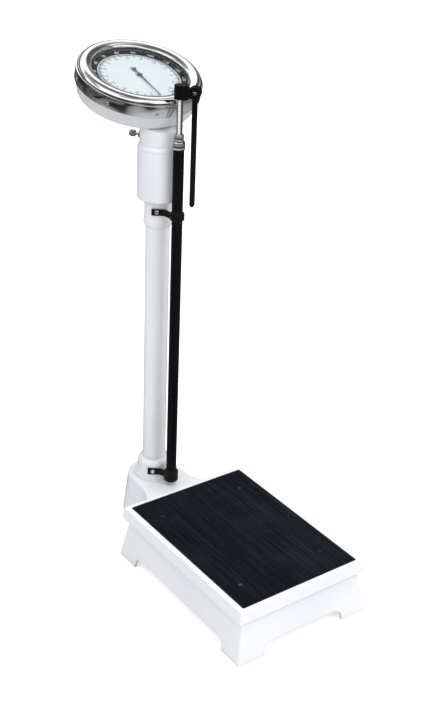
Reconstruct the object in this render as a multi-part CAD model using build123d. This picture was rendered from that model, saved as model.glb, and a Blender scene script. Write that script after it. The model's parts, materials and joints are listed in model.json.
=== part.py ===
from build123d import *
from math import atan2, cos, degrees, hypot, pi, radians, sin, sqrt, tan
import os

# Column scale with a round dial head and a telescopic height rod.
# Millimetres. +Z is up, the person steps on from -Y, and the dial faces them.
# The origin is on the floor, under the middle of the whole scale.

# Platform
tray_width = 275.0
tray_length = 372.0
tray_top = 106.3
tray_skirt = 22.5
tray_sheet = 2.0
tray_corner = 3.0
skirt_flare = 3.0
rim_side = 10.7
rim_end = 8.4
mat_recess = 2.2
mat_height = 2.8
rib_pitch = 4.0
rib_width = 2.2
rib_height = 0.9
stud_side = 47.5
stud_inset = 64.0
stud_head = 5.5
stud_depth = 8.0
post_foot = 14.0

# Base casting
base_width = 288.3
front_flare = 9.8
back_flare = 6.0
base_wall = 4.5
base_inset = 7.5
base_corner = 4.0
ledge_width = 10.0
ledge_height = 4.0
foot_side_front = 53.5
foot_side_back = 55.5
foot_end = 57.0
arch_height = 22.0
arch_corner = 14.0
tail_width = 104.0
tail_flare = 100.0
tail_sweep = 90.0
tail_draft = 9.5
deck_height = 5.0
web_depth = 8.0
web_top = 36.0
web_bottom = 22.5

# Lever train
draw_stroke = 15.0
load_arm = 44.0
knife_z = 60.0
cheek_width = 10.0
cheek_height = 20.0
cheek_over = 8.0
knife_out = 9.0
knife_size = 7.0
bearing_width = 8.0
bearing_depth = 16.0
shaft_radius = 7.0
beam_width = 12.0
beam_height = 16.0
beam_rise = 7.0
short_drop = 22.0
short_arm_x = 17.0
short_arm_width = 6.0
short_arm_height = 14.0
shackle_pin = 3.0
shackle_wall = 3.0
hook_pin = 2.5
nose_width = 5.0
nose_height = 15.0
slack = 1.2

# Column
column_reach = 294.8
column_radius = 22.5
column_bore = 20.0
column_lap = 1.0
foot_radius = 39.0
foot_body = 32.5
foot_top = 124.0
foot_bolt_circle = 27.5
foot_bolt = 3.0
socket_wall = 2.5
socket_drop = 51.0
bead_radius = 26.7

# Spring housing and neck
housing_radius = 38.4
housing_wall = 2.5
housing_bottom = 665.0
housing_height = 97.0
housing_floor = 3.5
neck_radius = 34.8
neck_wall = 2.5
neck_seat = 12.0
slot_front = 31.0
slot_back = 12.0
slot_width = 36.0
slot_corner = 8.0
spring_radius = 24.5
spring_wire = 5.7
spring_turns = 6.0
spring_drop = 20.0
seat_height = 4.0

# Draw rod and crank
rod_radius = 3.0
rod_pin = 1.5
crank_reach = 20.7
crank_rise = 36.45
crank_plate = 2.0
pivot_radius = 2.0

# Dial head
dial_back = 66.4
dial_over = 110.5
dial_tilt = 16.6
face_radius = 75.2
ring_radius = 86.4
face_edge = 89.5
face_sheet = 1.5
case_play = 0.1
case_floor_radius = 104.6
case_depth = 46.2
case_sheet = 1.5
case_corner = 5.0
bezel_radius = 113.8
bezel_sheet = 1.2
band_bottom = -17.4
band_top = 4.5
roll_step = 2.0
roll_radius = 101.0
roll_height = 15.0
lip_height = 8.4
glass_height = 2.6
bezel_screws = 8
bezel_screw_turn = 14.5
bezel_screw = 1.5
bezel_screw_length = 3.5

# Movement in the head
gear_module = 0.6
pinion_teeth = 14
tooth_play = 0.12
rack_h = -12.0
rack_height = 4.0
rack_back = 5.0
plate_h = -22.0
plate_sheet = 2.0
bridge_h = -6.5
shaft_thin = 1.25
plate_width = 42.0
bridge_length = 34.0
plate_slot = 14.0
face_post_circle = 62.0
pointer_length = 72.0
pointer_tail = 26.0
pointer_h = 2.2

# Zero adjuster
zero_turn = 118.0
zero_over = 15.0
zero_shaft = 2.5
zero_knob_radius = 6.0
zero_knob_length = 10.0
zero_out = 24.0
zero_bush_length = 5.0
zero_bush_radius = 6.0

# Height rod
rod_x = 5.0
rod_reach = 55.0
outer_radius = 10.0
middle_radius = 8.0
inner_radius = 6.0
tube_wall = 1.2
cap_bottom = 90.0
cap_height = 21.0
cap_radius = 14.0
cap_floor = 6.0
outer_lap = 10.0
lower_ferrule_radius = 11.4
ferrule_over = 9.0
lower_ferrule_height = 14.8
upper_ferrule_radius = 8.9
upper_ferrule_height = 11.6
inner_exposed = 62.0
engage_inner = 53.0
height_stroke = 575.0
bush_length = 18.0
running = 0.05

# Rod brackets
view_turn = -36.76
bracket_drop = 18.0
bracket_height = 12.0
foot_bracket_z = 103.0
foot_bracket_height = 14.0
strap = 2.5
strap_end = 9.0
strap_run = 14.0
clamp_wall = 3.3
bracket_screw = 2.6

# Headpiece
head_turn = -42.2
block_back = 10.2
block_height = 24.0
block_depth = 16.0
boss_reach = 26.0
boss_radius = 11.0
arm_length = 205.0
arm_width = 9.0
arm_depth = 8.0
arm_pin = 3.2

fit = 0.3
far = 300.0

# Places worked out from the sizes
tilt = radians(dial_tilt)
stud_x = tray_width / 2 - stud_side
stud_y = tray_length / 2 - stud_inset
base_front = tray_length / 2 + front_flare
base_back = tray_length / 2 + back_flare
column_top = housing_bottom - column_lap
socket_bottom = housing_bottom - socket_drop
bracket_z = housing_bottom - bracket_drop
housing_top = housing_bottom + housing_height
spring_top = housing_top - spring_drop
zero_z = housing_top + zero_over
lower_ferrule_bottom = housing_top + ferrule_over
outer_top = lower_ferrule_bottom + outer_lap
dial_z = housing_top + dial_over
head_back = column_reach + (dial_back + bezel_radius * cos(tilt) - band_bottom * sin(tilt))
tray_y = -(head_back - base_front) / 2
column_y = tray_y + column_reach
dial_y = column_y + dial_back
rod_y = column_y - rod_reach
skirt_bottom = tray_top - tray_skirt
lever_reach = column_reach + stud_y + load_arm
platform_travel = draw_stroke * load_arm / lever_reach
base_top = skirt_bottom - platform_travel - 2 * fit
plate_top = tray_top - mat_recess
front_fulcrum = tray_y - stud_y - load_arm
back_fulcrum = tray_y + stud_y + load_arm
front_load = tray_y - stud_y
back_load = tray_y + stud_y
beam_z = knife_z + beam_rise
knife_x = stud_x + bearing_width / 2 + fit + cheek_width / 2
case_radius = bezel_radius - bezel_sheet - case_play
pinion_radius = gear_module * pinion_teeth / 2
rack_stroke = 2 * pi * pinion_radius
pivot_y = column_y + crank_reach
pivot_h = rack_h - crank_rise
pivot_v = (pivot_y - dial_y + pivot_h * sin(tilt)) / cos(tilt)
pivot_z = dial_z + pivot_v * sin(tilt) + pivot_h * cos(tilt)
rod_pin_z = pivot_z + draw_stroke / 2
rack_pin_v = pivot_v + rack_stroke / 2
lever_swing = degrees(platform_travel / load_arm)

dial = Plane(origin=(0, dial_y, dial_z), x_dir=(1, 0, 0), z_dir=(0, -sin(tilt), cos(tilt)))
rod_place = Location((rod_x, rod_y, 0))
column_place = Location((0, column_y, 0))


def on_dial(shape):
    return dial.location * shape


def turned(*profile):
    # A solid of revolution about Z, from a closed profile of radius and height
    return revolve(Plane.XZ * make_face(Polyline(*profile, close=True)), Axis.Z)


def tube(outer, bore, bottom, top):
    ring = Circle(outer) - Circle(bore) if bore else Circle(outer)
    return Pos(0, 0, bottom) * extrude(ring, top - bottom)


def box(x0, x1, y0, y1, z0, z1):
    middle = Pos((x0 + x1) / 2, (y0 + y1) / 2, (z0 + z1) / 2)
    return middle * Box(x1 - x0, y1 - y0, z1 - z0)


def rod_x_axis(radius, half, y, z):
    # A round bar along X, centred on x = 0
    return Pos(0, y, z) * Rot(0, 90, 0) * Cylinder(radius, 2 * half)


def side_plate(outline, x0, x1):
    # A flat plate in the YZ plane, between two x values
    return Pos(x0, 0, 0) * extrude(Plane.YZ * outline, x1 - x0)


def mirrored(shape):
    return Compound([*shape.solids(), *mirror(shape, Plane.YZ).solids()])


# Platform: pressed tray, ribbed mat, four studs and the posts that stand on the levers


def rounded_slab(width, length, corner, bottom, height):
    return Pos(0, tray_y, bottom) * extrude(RectangleRounded(width, length, corner), height)


def tray_block(shrink, top):
    # The tray's outline with its slightly flared skirt, shrunk by a wall and cut off at a level
    flare = skirt_flare * (top - skirt_bottom) / tray_skirt
    width = tray_width - 2 * shrink + 2 * (skirt_flare - flare)
    length = tray_length - 2 * shrink + 2 * (skirt_flare - flare)
    low = RectangleRounded(width + 2 * flare, length + 2 * flare, tray_corner)
    high = RectangleRounded(width, length, tray_corner)
    return Pos(0, tray_y, 0) * loft([Pos(0, 0, skirt_bottom) * low, Pos(0, 0, top) * high])


def platform_tray():
    tray = tray_block(0, tray_top)
    tray = fillet(tray.faces().sort_by(Axis.Z)[-1].edges(), 1.5)
    pocket_width = tray_width - 2 * rim_side
    pocket_length = tray_length - 2 * rim_end
    tray -= rounded_slab(pocket_width, pocket_length, 3, plate_top, mat_recess)
    hollow_top = plate_top - tray_sheet
    tray -= tray_block(tray_sheet, hollow_top)
    for place in stud_places():
        tray -= place * tube(stud_head / 2, 0, hollow_top, plate_top)
    return tray


def stud_places():
    return [Location((x, y, 0)) for x in (-stud_x, stud_x) for y in (front_load, back_load)]


def platform_mat():
    width = tray_width - 2 * rim_side - 2 * fit
    length = tray_length - 2 * rim_end - 2 * fit
    sheet_top = plate_top + mat_height - rib_height
    mat = rounded_slab(width, length, 3, plate_top, mat_height - rib_height)
    count = int((width - rib_pitch) / rib_pitch)
    rib = extrude(Rectangle(rib_width, length - rib_pitch), rib_height)
    start = -(count - 1) * rib_pitch / 2
    ribs = [Pos(start + i * rib_pitch, tray_y, sheet_top) * rib for i in range(count)]
    mat = mat.fuse(*ribs)
    for place in stud_places():
        mat -= place * tube(stud_head + fit, 0, plate_top + 1, tray_top + mat_height)
        mat -= place * tube(stud_head / 2, 0, plate_top, tray_top)
    return mat


def mat_studs():
    # Round heads in pockets of the mat, with shanks down into the posts
    crown = plate_top + mat_height
    seat = plate_top + 1
    foot = plate_top - tray_sheet - stud_depth
    shank = stud_head / 2
    profile = [(0, foot), (shank, foot), (shank, seat), (stud_head, seat)]
    profile += [(stud_head, crown - 1), (stud_head - 1.4, crown), (0, crown)]
    stud = turned(*profile)
    return Compound([place * stud for place in stud_places()])


def load_posts():
    # Each post hangs under the tray and sits on a knife edge by a notch
    top = plate_top - tray_sheet
    bottom = knife_z - 4
    half = bearing_depth / 2
    open_half = 6.0
    apex = knife_z + fit
    notch = Polyline((-open_half, bottom), (0, apex), (open_half, bottom), close=True)
    outline = Pos(0, (bottom + top) / 2) * Rectangle(2 * half, top - bottom) - make_face(notch)
    post = side_plate(outline, -bearing_width / 2, bearing_width / 2)
    post += box(-post_foot, post_foot, -post_foot, post_foot, top - tray_sheet, top)
    post -= tube(stud_head / 2, 0, top - stud_depth, top)
    return Compound([place * post for place in stud_places()])


# Base casting: a flared, hollow, four-footed base with a tail under the column


def base_block(width, front, back, corner, grow):
    # The flared body under the tray, grown outwards by a distance
    low = RectangleRounded(width + 2 * grow, front + back + 2 * grow, corner)
    top_width = tray_width - 2 * base_inset + 2 * grow
    top_length = tray_length - 2 * base_inset + 2 * grow
    high = RectangleRounded(top_width, top_length, corner)
    low_y = tray_y + (back - front) / 2
    return loft([Pos(0, low_y, 0) * low, Pos(0, tray_y, base_top) * high])


def tail_outline(half, start, knee):
    # Straight sides that sweep out to the tray body, and a round end behind the column
    def sweep_out(reach):
        return half + tail_flare - sqrt(tail_flare ** 2 - reach ** 2)

    bend = knee + tail_sweep
    wide = sweep_out(tail_sweep)
    left = [(-wide, knee), (-sweep_out(tail_sweep / 2), knee + tail_sweep / 2), (-half, bend)]
    lines = Line((-wide, start), left[0]) + ThreePointArc(*left)
    lines += Line((-half, bend), (-half, column_y))
    lines += ThreePointArc((-half, column_y), (0, column_y + half), (half, column_y))
    lines += Line((half, column_y), (half, bend))
    lines += ThreePointArc(*[(-x, y) for x, y in reversed(left)])
    lines += Polyline((wide, knee), (wide, start), (-wide, start))
    return make_face(lines)


def tail_block(shrink, start, height):
    knee = tray_y + tray_length / 2 - base_inset - 1
    low_half = tail_width / 2 + tail_draft - shrink
    low = tail_outline(low_half, start, knee)
    high = tail_outline(low_half - tail_draft * height / base_top, start, knee)
    return loft([low, Pos(0, 0, height) * high])


def arch(width, depth, height):
    # The rounded gap between two feet, as a prism along Y
    gap = Rectangle(width, 2 * height)
    gap = fillet(gap.vertices().group_by(Axis.Y)[-1], arch_corner)
    return extrude(Plane.XZ * gap, depth, both=True)


def base_casting():
    tail_start = tray_y + tray_length / 2 - base_inset - 3
    base = base_block(base_width, base_front, base_back, base_corner, 0)
    base += tail_block(0, tail_start, base_top)
    inner = base_block(base_width, base_front, base_back, base_corner, -base_wall)
    ledge = box(-base_width, base_width, tray_y - base_front, tray_y + base_back,
                base_top - ledge_height, base_top + 1)
    open_width = tray_width - 2 * (base_inset + base_wall + ledge_width)
    open_length = tray_length - 2 * (base_inset + base_wall + ledge_width)
    inner -= ledge - rounded_slab(open_width, open_length, 12, base_top - 9, 20)
    base -= inner
    base -= tail_block(base_wall, tail_start - 12, base_top - deck_height)
    side_length = base_front + base_back - foot_side_front - foot_side_back
    side_y = tray_y + (base_back - foot_side_back - base_front + foot_side_front) / 2
    side = Rot(0, 0, 90) * arch(side_length, base_width, arch_height)
    base -= Pos(0, side_y, 0) * side
    base -= Pos(0, tray_y - base_front, 0) * arch(base_width - 2 * foot_end, 40, arch_height)
    draft = (base_width - tray_width) / 2 + base_inset
    web_half = base_width / 2 - draft * (web_top + web_bottom) / 2 / base_top - base_wall / 2
    for y in (front_fulcrum, back_fulcrum):
        base += box(-web_half, web_half, y - web_depth / 2, y + web_depth / 2, web_bottom, web_top)
    base -= column_place * tube(column_bore, 0, 0, base_top)
    for place in foot_bolt_places():
        base -= place * tube(foot_bolt, 0, base_top - deck_height, base_top)
    return base


def fulcrum_bearings():
    # Hard steel blocks on the cast webs, notched for the fulcrum knife edges
    half = bearing_depth / 2
    top = knife_z + 4
    apex = knife_z - fit
    notch = Polyline((-6, top), (0, apex), (6, top), close=True)
    outline = Pos(0, (web_top + top) / 2) * Rectangle(2 * half, top - web_top) - make_face(notch)
    block = side_plate(outline, -bearing_width / 2, bearing_width / 2)
    x = knife_x + cheek_width / 2 + fit + bearing_width / 2
    places = [Pos(s * x, y, 0) for s in (-1, 1) for y in (front_fulcrum, back_fulcrum)]
    return Compound([place * block for place in places])


# Levers: a long and a short one, both hung on knife edges


def cheek(fulcrum, load, drop):
    # The end plate of a lever, from its cross shaft up to both knife edges
    middle = (fulcrum + load) / 2
    bar = Pos(middle, knife_z) * RectangleRounded(load_arm + 2 * cheek_over, cheek_height, 6)
    boss = Pos(middle, knife_z - drop) * Circle(shaft_radius + 5)
    return make_hull(bar.edges() + boss.edges())


def knife(y, up):
    # A three-cornered steel bar through a cheek, its sharp edge on the knife line
    lean = -knife_size if up else knife_size
    wedge = Polyline((0, 0), (-knife_size / 2, lean), (knife_size / 2, lean), close=True)
    half = cheek_width / 2 + knife_out
    place = Pos(0, y, knife_z)
    return place * side_plate(make_face(wedge), knife_x - half, knife_x + half)


def lever_ends(fulcrum, load, drop):
    plate = side_plate(cheek(fulcrum, load, drop), knife_x - cheek_width / 2, knife_x + cheek_width / 2)
    plate -= knife(fulcrum, False)
    plate -= knife(load, True)
    return plate


def lever_knives(fulcrum, load):
    return mirrored(Compound([knife(fulcrum, False), knife(load, True)]))


def long_lever():
    middle = (front_fulcrum + front_load) / 2
    ends = lever_ends(front_fulcrum, front_load, 0)
    lever = rod_x_axis(shaft_radius, knife_x, middle, knife_z)
    lever += [ends, mirror(ends, Plane.YZ)]
    nose = column_y + 9
    deep = beam_height / 2
    outline = Polyline(
        (middle, knife_z - deep), (middle, beam_z + deep), (back_load, beam_z + deep),
        (nose, beam_z + nose_height / 2), (nose, beam_z - nose_height / 2),
        (back_load, beam_z - deep), close=True)
    lever += side_plate(make_face(outline), -beam_width / 2, beam_width / 2)
    lever -= rod_x_axis(shackle_pin, beam_width, tray_y, beam_z)
    lever -= rod_x_axis(hook_pin + slack, beam_width, column_y, beam_z)
    for side in (-1, 1):
        x = side * (nose_width + beam_width) / 2
        lever -= box(x - beam_width / 2, x + beam_width / 2, column_y - 12, nose + 1,
                     beam_z - beam_height, beam_z + beam_height)
    return lever


def short_lever():
    middle = (back_fulcrum + back_load) / 2
    ends = lever_ends(back_fulcrum, back_load, short_drop)
    low = knife_z - short_drop
    lever = rod_x_axis(shaft_radius, knife_x, middle, low)
    lever += [ends, mirror(ends, Plane.YZ)]
    half = short_arm_height / 2
    bar = Pos((tray_y + middle) / 2, low) * Rectangle(middle - tray_y, short_arm_height)
    outline = bar + Pos(tray_y, low) * Circle(half)
    x = short_arm_x - short_arm_width / 2
    arm = side_plate(outline, x, x + short_arm_width)
    lever += [arm, mirror(arm, Plane.YZ)]
    lever -= rod_x_axis(shackle_pin + slack, short_arm_x + short_arm_width, tray_y, low)
    return lever


def lever_shackle():
    # Two links hung from the long lever's beam, with a pin through the short lever's tips
    low = knife_z - short_drop
    inner = beam_width / 2 + fit
    outline = Pos(tray_y, (beam_z + low) / 2) * SlotCenterToCenter(beam_z - low, 14, rotation=90)
    plate = side_plate(outline, inner, inner + shackle_wall)
    shackle = plate + mirror(plate, Plane.YZ)
    shackle += rod_x_axis(shackle_pin - running, inner, tray_y, beam_z)
    shackle += rod_x_axis(shackle_pin, short_arm_x + short_arm_width / 2 + 3, tray_y, low)
    return shackle


# Column: cast foot, tube and the collar that carries the spring housing


def foot_bolt_places():
    turns = (90, 210, 330)
    return [column_place * Rot(0, 0, a) * Pos(foot_bolt_circle, 0, 0) for a in turns]


def column_foot():
    step = 3.2
    shoulder = foot_top - 11
    outline = Polyline(
        (column_bore, base_top), (foot_radius, base_top), (foot_radius, base_top + step),
        (foot_radius - 3, base_top + step), (foot_radius - 3, base_top + 2 * step),
        (foot_body, base_top + 2 * step + 2), (foot_body, shoulder))
    rim = column_radius + 2.5
    crown = ThreePointArc((foot_body, shoulder), (foot_body - 2.6, foot_top - 4), (rim, foot_top))
    bore = Polyline((rim, foot_top), (column_radius, foot_top),
                    (column_radius, base_top + 4), (column_bore, base_top + 4), (column_bore, base_top))
    foot = revolve(Plane.XZ * make_face(outline + crown + bore), Axis.Z)
    foot = column_place * foot
    for place in foot_bolt_places():
        foot -= place * tube(foot_bolt, 0, base_top, base_top + 14)
    return foot


def foot_bolts():
    head = 4.0
    under = base_top - deck_height
    bolt = tube(foot_bolt, 0, under, base_top + 14)
    bolt += Pos(0, 0, under - head) * extrude(RegularPolygon(5.5, 6), head)
    return Compound([place * bolt for place in foot_bolt_places()])


def column_tube():
    return column_place * tube(column_radius, column_bore, base_top + 4, column_top)


def head_collar():
    # A sleeve pushed over the column's top, with a rolled bead round its lower edge
    outer = column_radius + socket_wall
    low = socket_bottom
    side = [(column_radius, low), (column_radius + 1.2, low), (outer, low + 3)]
    bulge = ThreePointArc((outer, low + 3), (bead_radius, low + 9.5), (outer, low + 16))
    top = Polyline((outer, low + 16), (outer, housing_bottom), (column_bore, housing_bottom),
                   (column_bore, column_top), (column_radius, column_top), side[0])
    return column_place * revolve(Plane.XZ * make_face(Polyline(*side) + bulge + top), Axis.Z)


# Spring housing, neck and the main spring under the draw rod's seat


def spring_housing():
    inner = housing_radius - housing_wall
    floor_top = housing_bottom + housing_floor
    turn = 5.0
    corner = turn * (1 - sqrt(0.5))
    hole = rod_radius + 1
    path = Line((hole, housing_bottom), (housing_radius - turn, housing_bottom))
    path += ThreePointArc((housing_radius - turn, housing_bottom),
                          (housing_radius - corner, housing_bottom + corner),
                          (housing_radius, housing_bottom + turn))
    rim = housing_top - 3
    path += Polyline((housing_radius, housing_bottom + turn), (housing_radius, rim - 2),
                     (housing_radius - 0.7, rim - 1), (housing_radius - 0.7, rim), (housing_radius, rim + 1))
    path += ThreePointArc((housing_radius, rim + 1), (housing_radius - 0.6, housing_top + 2),
                          (neck_radius, housing_top + 7))
    path += Polyline((neck_radius, housing_top + 7), (neck_radius, housing_top + 1), (inner, housing_top - 1),
                     (inner, floor_top), (hole, floor_top), (hole, housing_bottom))
    return column_place * revolve(Plane.XZ * make_face(path), Axis.Z)


def under_dial(gap):
    # Everything below the tilted floor of the dial case, less a gap
    return on_dial(box(-far, far, -far, far, -2 * far, -case_depth - gap))


def movement_hole(height):
    # The slot through neck and case floor for the crank and its ears
    front = pivot_v - slot_front
    back = pivot_v + slot_back
    slot = Pos(0, (front + back) / 2) * RectangleRounded(slot_width, back - front, slot_corner)
    return on_dial(Pos(0, 0, -case_depth - height / 2) * extrude(slot, height))


def head_neck():
    outer = column_place * tube(neck_radius, 0, housing_top - neck_seat, dial_z) & under_dial(0)
    inner = column_place * tube(neck_radius - neck_wall, 0, 0, dial_z) & under_dial(neck_wall)
    neck = outer - inner - movement_hole(12)
    return neck - zero_place() * tube(zero_shaft + 1.6, 0, neck_radius - neck_wall - 3, neck_radius + 1)


def main_spring():
    low = housing_bottom + housing_floor
    path = Helix((spring_top - low - spring_wire - 2 * fit) / spring_turns,
                 spring_top - low - spring_wire - 2 * fit, spring_radius)
    start = path @ 0
    section = Plane(origin=start, z_dir=path % 0) * Circle(spring_wire / 2)
    spring = sweep(section, path=path, is_frenet=True)
    return column_place * Pos(0, 0, low + spring_wire / 2 + fit) * spring


def spring_seat():
    # The plate on the draw rod that presses the spring's top
    outer = spring_radius + spring_wire / 2
    seat = tube(outer, rod_radius, spring_top, spring_top + seat_height)
    seat += tube(8, rod_radius, spring_top + seat_height, spring_top + 14)
    seat += tube(spring_radius - spring_wire, rod_radius, spring_top - 4, spring_top)
    return column_place * seat


def draw_rod():
    low = beam_z + 14
    return column_place * tube(rod_radius, 0, low, rod_pin_z - 12)


def fork(gap, wall, width, low, high, crown):
    # Two cheeks that stand apart by the gap and join in a crown at one end
    outer = gap / 2 + wall
    body = box(-outer, outer, -width / 2, width / 2, low, high)
    if crown > 0:
        return body - box(-gap / 2, gap / 2, -width, width, low - 1, high - crown)
    return body - box(-gap / 2, gap / 2, -width, width, low - crown, high + 1)


def draw_hook():
    # The lower fork, whose pin passes through the long lever's nose
    gap = nose_width + 2 * slack
    low = beam_z - hook_pin - 4
    hook = fork(gap, 3, 12, low, beam_z + 20, 6)
    hook += rod_x_axis(hook_pin, gap / 2 + 3, 0, beam_z)
    hook -= tube(rod_radius, 0, beam_z + 14, beam_z + 20)
    return column_place * hook


def draw_fork():
    # The upper fork, whose pin rides in the crank's slot
    gap = crank_plate + 2
    low = rod_pin_z - 18
    top = fork(gap, 1.5, 7, low, rod_pin_z + rod_pin + 2.5, -6)
    top += rod_x_axis(rod_pin, gap / 2 + 1.5, 0, rod_pin_z)
    top -= tube(rod_radius, 0, low, low + 6)
    return column_place * top


# Zero adjuster on the neck


def zero_place():
    return Location((0, column_y, zero_z), (0, 0, zero_turn)) * Rot(0, 90, 0)


def zero_bush():
    inside = neck_radius - neck_wall - 3
    bush = tube(zero_shaft + 1.6, zero_shaft + running, inside, neck_radius + 1)
    bush += tube(zero_bush_radius, zero_shaft + running, neck_radius + 0.4, neck_radius + zero_bush_length)
    return zero_place() * bush


def zero_screw():
    end = neck_radius + zero_out
    screw = tube(zero_shaft, 0, 18, end - zero_knob_length)
    screw += Pos(1.2, 0, 0) * tube(1.2, 0, 14, 18)
    return zero_place() * screw


def zero_knob():
    end = neck_radius + zero_out
    knob = tube(zero_knob_radius, 0, end - zero_knob_length, end)
    knob = chamfer(knob.edges(), 0.8)
    flute = tube(0.7, 0, end - zero_knob_length, end)
    flutes = [Rot(0, 0, a) * Pos(zero_knob_radius + 0.2, 0, 0) * flute for a in range(0, 360, 20)]
    return zero_place() * knob.cut(*flutes)


# Dial head: case, bezel, glass and face


def dial_case():
    cone = (case_radius - case_floor_radius) / (case_depth + band_bottom)
    edge = case_corner
    low = -case_depth
    floor = case_floor_radius - edge
    bend = edge * (1 - sqrt(0.5))
    path = Line((0, low), (floor, low))
    path += ThreePointArc((floor, low), (case_floor_radius - bend, low + bend),
                          (case_floor_radius + cone * edge, low + edge))
    wall = case_sheet
    path += Polyline((case_floor_radius + cone * edge, low + edge), (case_radius, band_bottom),
                     (case_radius, -1), (case_radius - wall, -1), (case_radius - wall, band_bottom),
                     (case_floor_radius - wall + cone * edge, low + edge + 0.6))
    inner = edge - wall
    path += ThreePointArc((case_floor_radius - wall + cone * edge, low + edge + 0.6),
                          (floor + inner * sqrt(0.5), low + edge - inner * sqrt(0.5)),
                          (floor, low + wall))
    path += Polyline((floor, low + wall), (0, low + wall), (0, low))
    case = on_dial(revolve(Plane.XZ * make_face(path), Axis.Z))
    return with_bezel_holes(case - movement_hole(12))


def bezel_half(sheet):
    # One side of the bezel's profile: band, a step in, then a roll up and over to the lip
    outer = bezel_radius - sheet
    shoulder = band_top - sheet
    lip = ring_radius + sheet
    crest = roll_height - sheet
    path = Polyline((outer, band_bottom), (outer, shoulder), (outer - roll_step, shoulder))
    path += EllipticalCenterArc((roll_radius, shoulder), outer - roll_step - roll_radius, crest - shoulder,
                                start_angle=0, arc_size=90)
    path += EllipticalCenterArc((roll_radius, lip_height), roll_radius - lip, crest - lip_height,
                                start_angle=90, arc_size=90)
    floor = lip_height - 0.8
    path += Polyline((lip, lip_height), (lip, floor), (roll_radius - 8, floor),
                     (roll_radius - 8, band_bottom), (outer, band_bottom))
    return make_face(path)


def dial_bezel():
    section = bezel_half(0) - bezel_half(bezel_sheet)
    return with_bezel_holes(on_dial(revolve(Plane.XZ * section, Axis.Z)))


def bezel_screw_places():
    step = 360 / bezel_screws
    out = Pos(bezel_radius, 0, band_bottom / 2) * Rot(0, 90, 0)
    return [Rot(0, 0, 270 - bezel_screw_turn - i * step) * out for i in range(bezel_screws)]


def bezel_screw_heads():
    # Round-headed screws through the band into the case
    profile = [(0, -bezel_screw_length), (bezel_screw, -bezel_screw_length), (bezel_screw, 0)]
    profile += [(2 * bezel_screw, 0), (2 * bezel_screw, 0.7), (1.8, 1.6), (0, 1.6)]
    screw = turned(*profile)
    return on_dial(Compound([place * screw for place in bezel_screw_places()]))


def with_bezel_holes(shape):
    hole = tube(bezel_screw, 0, -2 * bezel_screw_length, 2)
    return shape.cut(*[on_dial(place * hole) for place in bezel_screw_places()])


def dial_glass():
    top = lip_height - 0.8
    return on_dial(tube(face_edge, 0, top - glass_height, top))


def glass_gasket():
    # The rubber ring that spaces the glass off the numeral ring
    top = lip_height - 0.8 - glass_height
    return on_dial(tube(face_edge, ring_radius + 0.4, 0.5, top))


def dial_face():
    return on_dial(tube(face_edge, 2.6, -face_sheet, 0))


def numeral_ring():
    return on_dial(tube(face_edge, face_radius, 0, 0.5))


def face_posts():
    post = tube(3, 0, -case_depth + case_sheet, -face_sheet)
    turns = (45, 135, 225, 315)
    return on_dial(Compound([Rot(0, 0, a) * Pos(face_post_circle, 0, 0) * post for a in turns]))


# Movement: crank, rack and pinion between two plates


def movement_plate():
    back = 24.0
    front = pivot_v - 6
    outline = Pos(0, (front + back) / 2) * RectangleRounded(plate_width, back - front, 3)
    outline -= Pos(0, front + 10) * Rectangle(plate_slot, plate_width)
    plate = Pos(0, 0, plate_h - plate_sheet) * extrude(outline, plate_sheet)
    ear = Pos(pivot_v, (pivot_h + plate_h) / 2) * Rectangle(12, plate_h - pivot_h - plate_sheet)
    ear += Pos(pivot_v, pivot_h) * Circle(6)
    ear -= Pos(pivot_v, pivot_h) * Circle(pivot_radius)
    ears = side_plate(ear, 8, 10)
    plate += [ears, mirror(ears, Plane.YZ)]
    plate -= tube(3, 0, plate_h - plate_sheet, plate_h)
    return on_dial(plate)


def movement_bridge():
    plate = Pos(0, 0, bridge_h) * extrude(RectangleRounded(plate_width, bridge_length, 3), 1.5)
    plate -= tube(3, 0, bridge_h, bridge_h + 1.5)
    return on_dial(plate)


def movement_pillars():
    tall = tube(2.5, 0, plate_h, bridge_h)
    low = tube(3, 0, -case_depth + case_sheet, plate_h - plate_sheet)
    upper = [Pos(x, y, 0) * tall for x in (-17.5, 17.5) for y in (-13, 13)]
    lower = [Pos(x, y, 0) * low for x in (-16, 16) for y in (pivot_v + 24, 18)]
    return on_dial(Compound(upper + lower))


def shaft_bushes():
    bore = shaft_thin + running
    low = tube(3, bore, plate_h - plate_sheet, plate_h + 1)
    high = tube(3, bore, bridge_h - 1, bridge_h + 1.5)
    return on_dial(Compound([low, high]))


def crank_pin():
    return on_dial(rod_x_axis(pivot_radius, 11.5, pivot_v, pivot_h))


def rack_edge():
    return pinion_radius + gear_module + rack_back


def rack_guide():
    # A channel for the rack, with a fence behind it and a lip above
    front = -30.0
    back = 20.0
    back_x = rack_edge() + running
    low = rack_h - rack_height / 2 - running
    guide = box(pinion_radius + 1.4, back_x + 2, front, back, plate_h, low)
    guide += box(back_x, back_x + 2, front, back, low, rack_h + rack_height / 2 + 2)
    guide += box(back_x - 2.5, back_x, front, back, rack_h + rack_height / 2 + running,
                 rack_h + rack_height / 2 + 2)
    return on_dial(guide)


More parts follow.
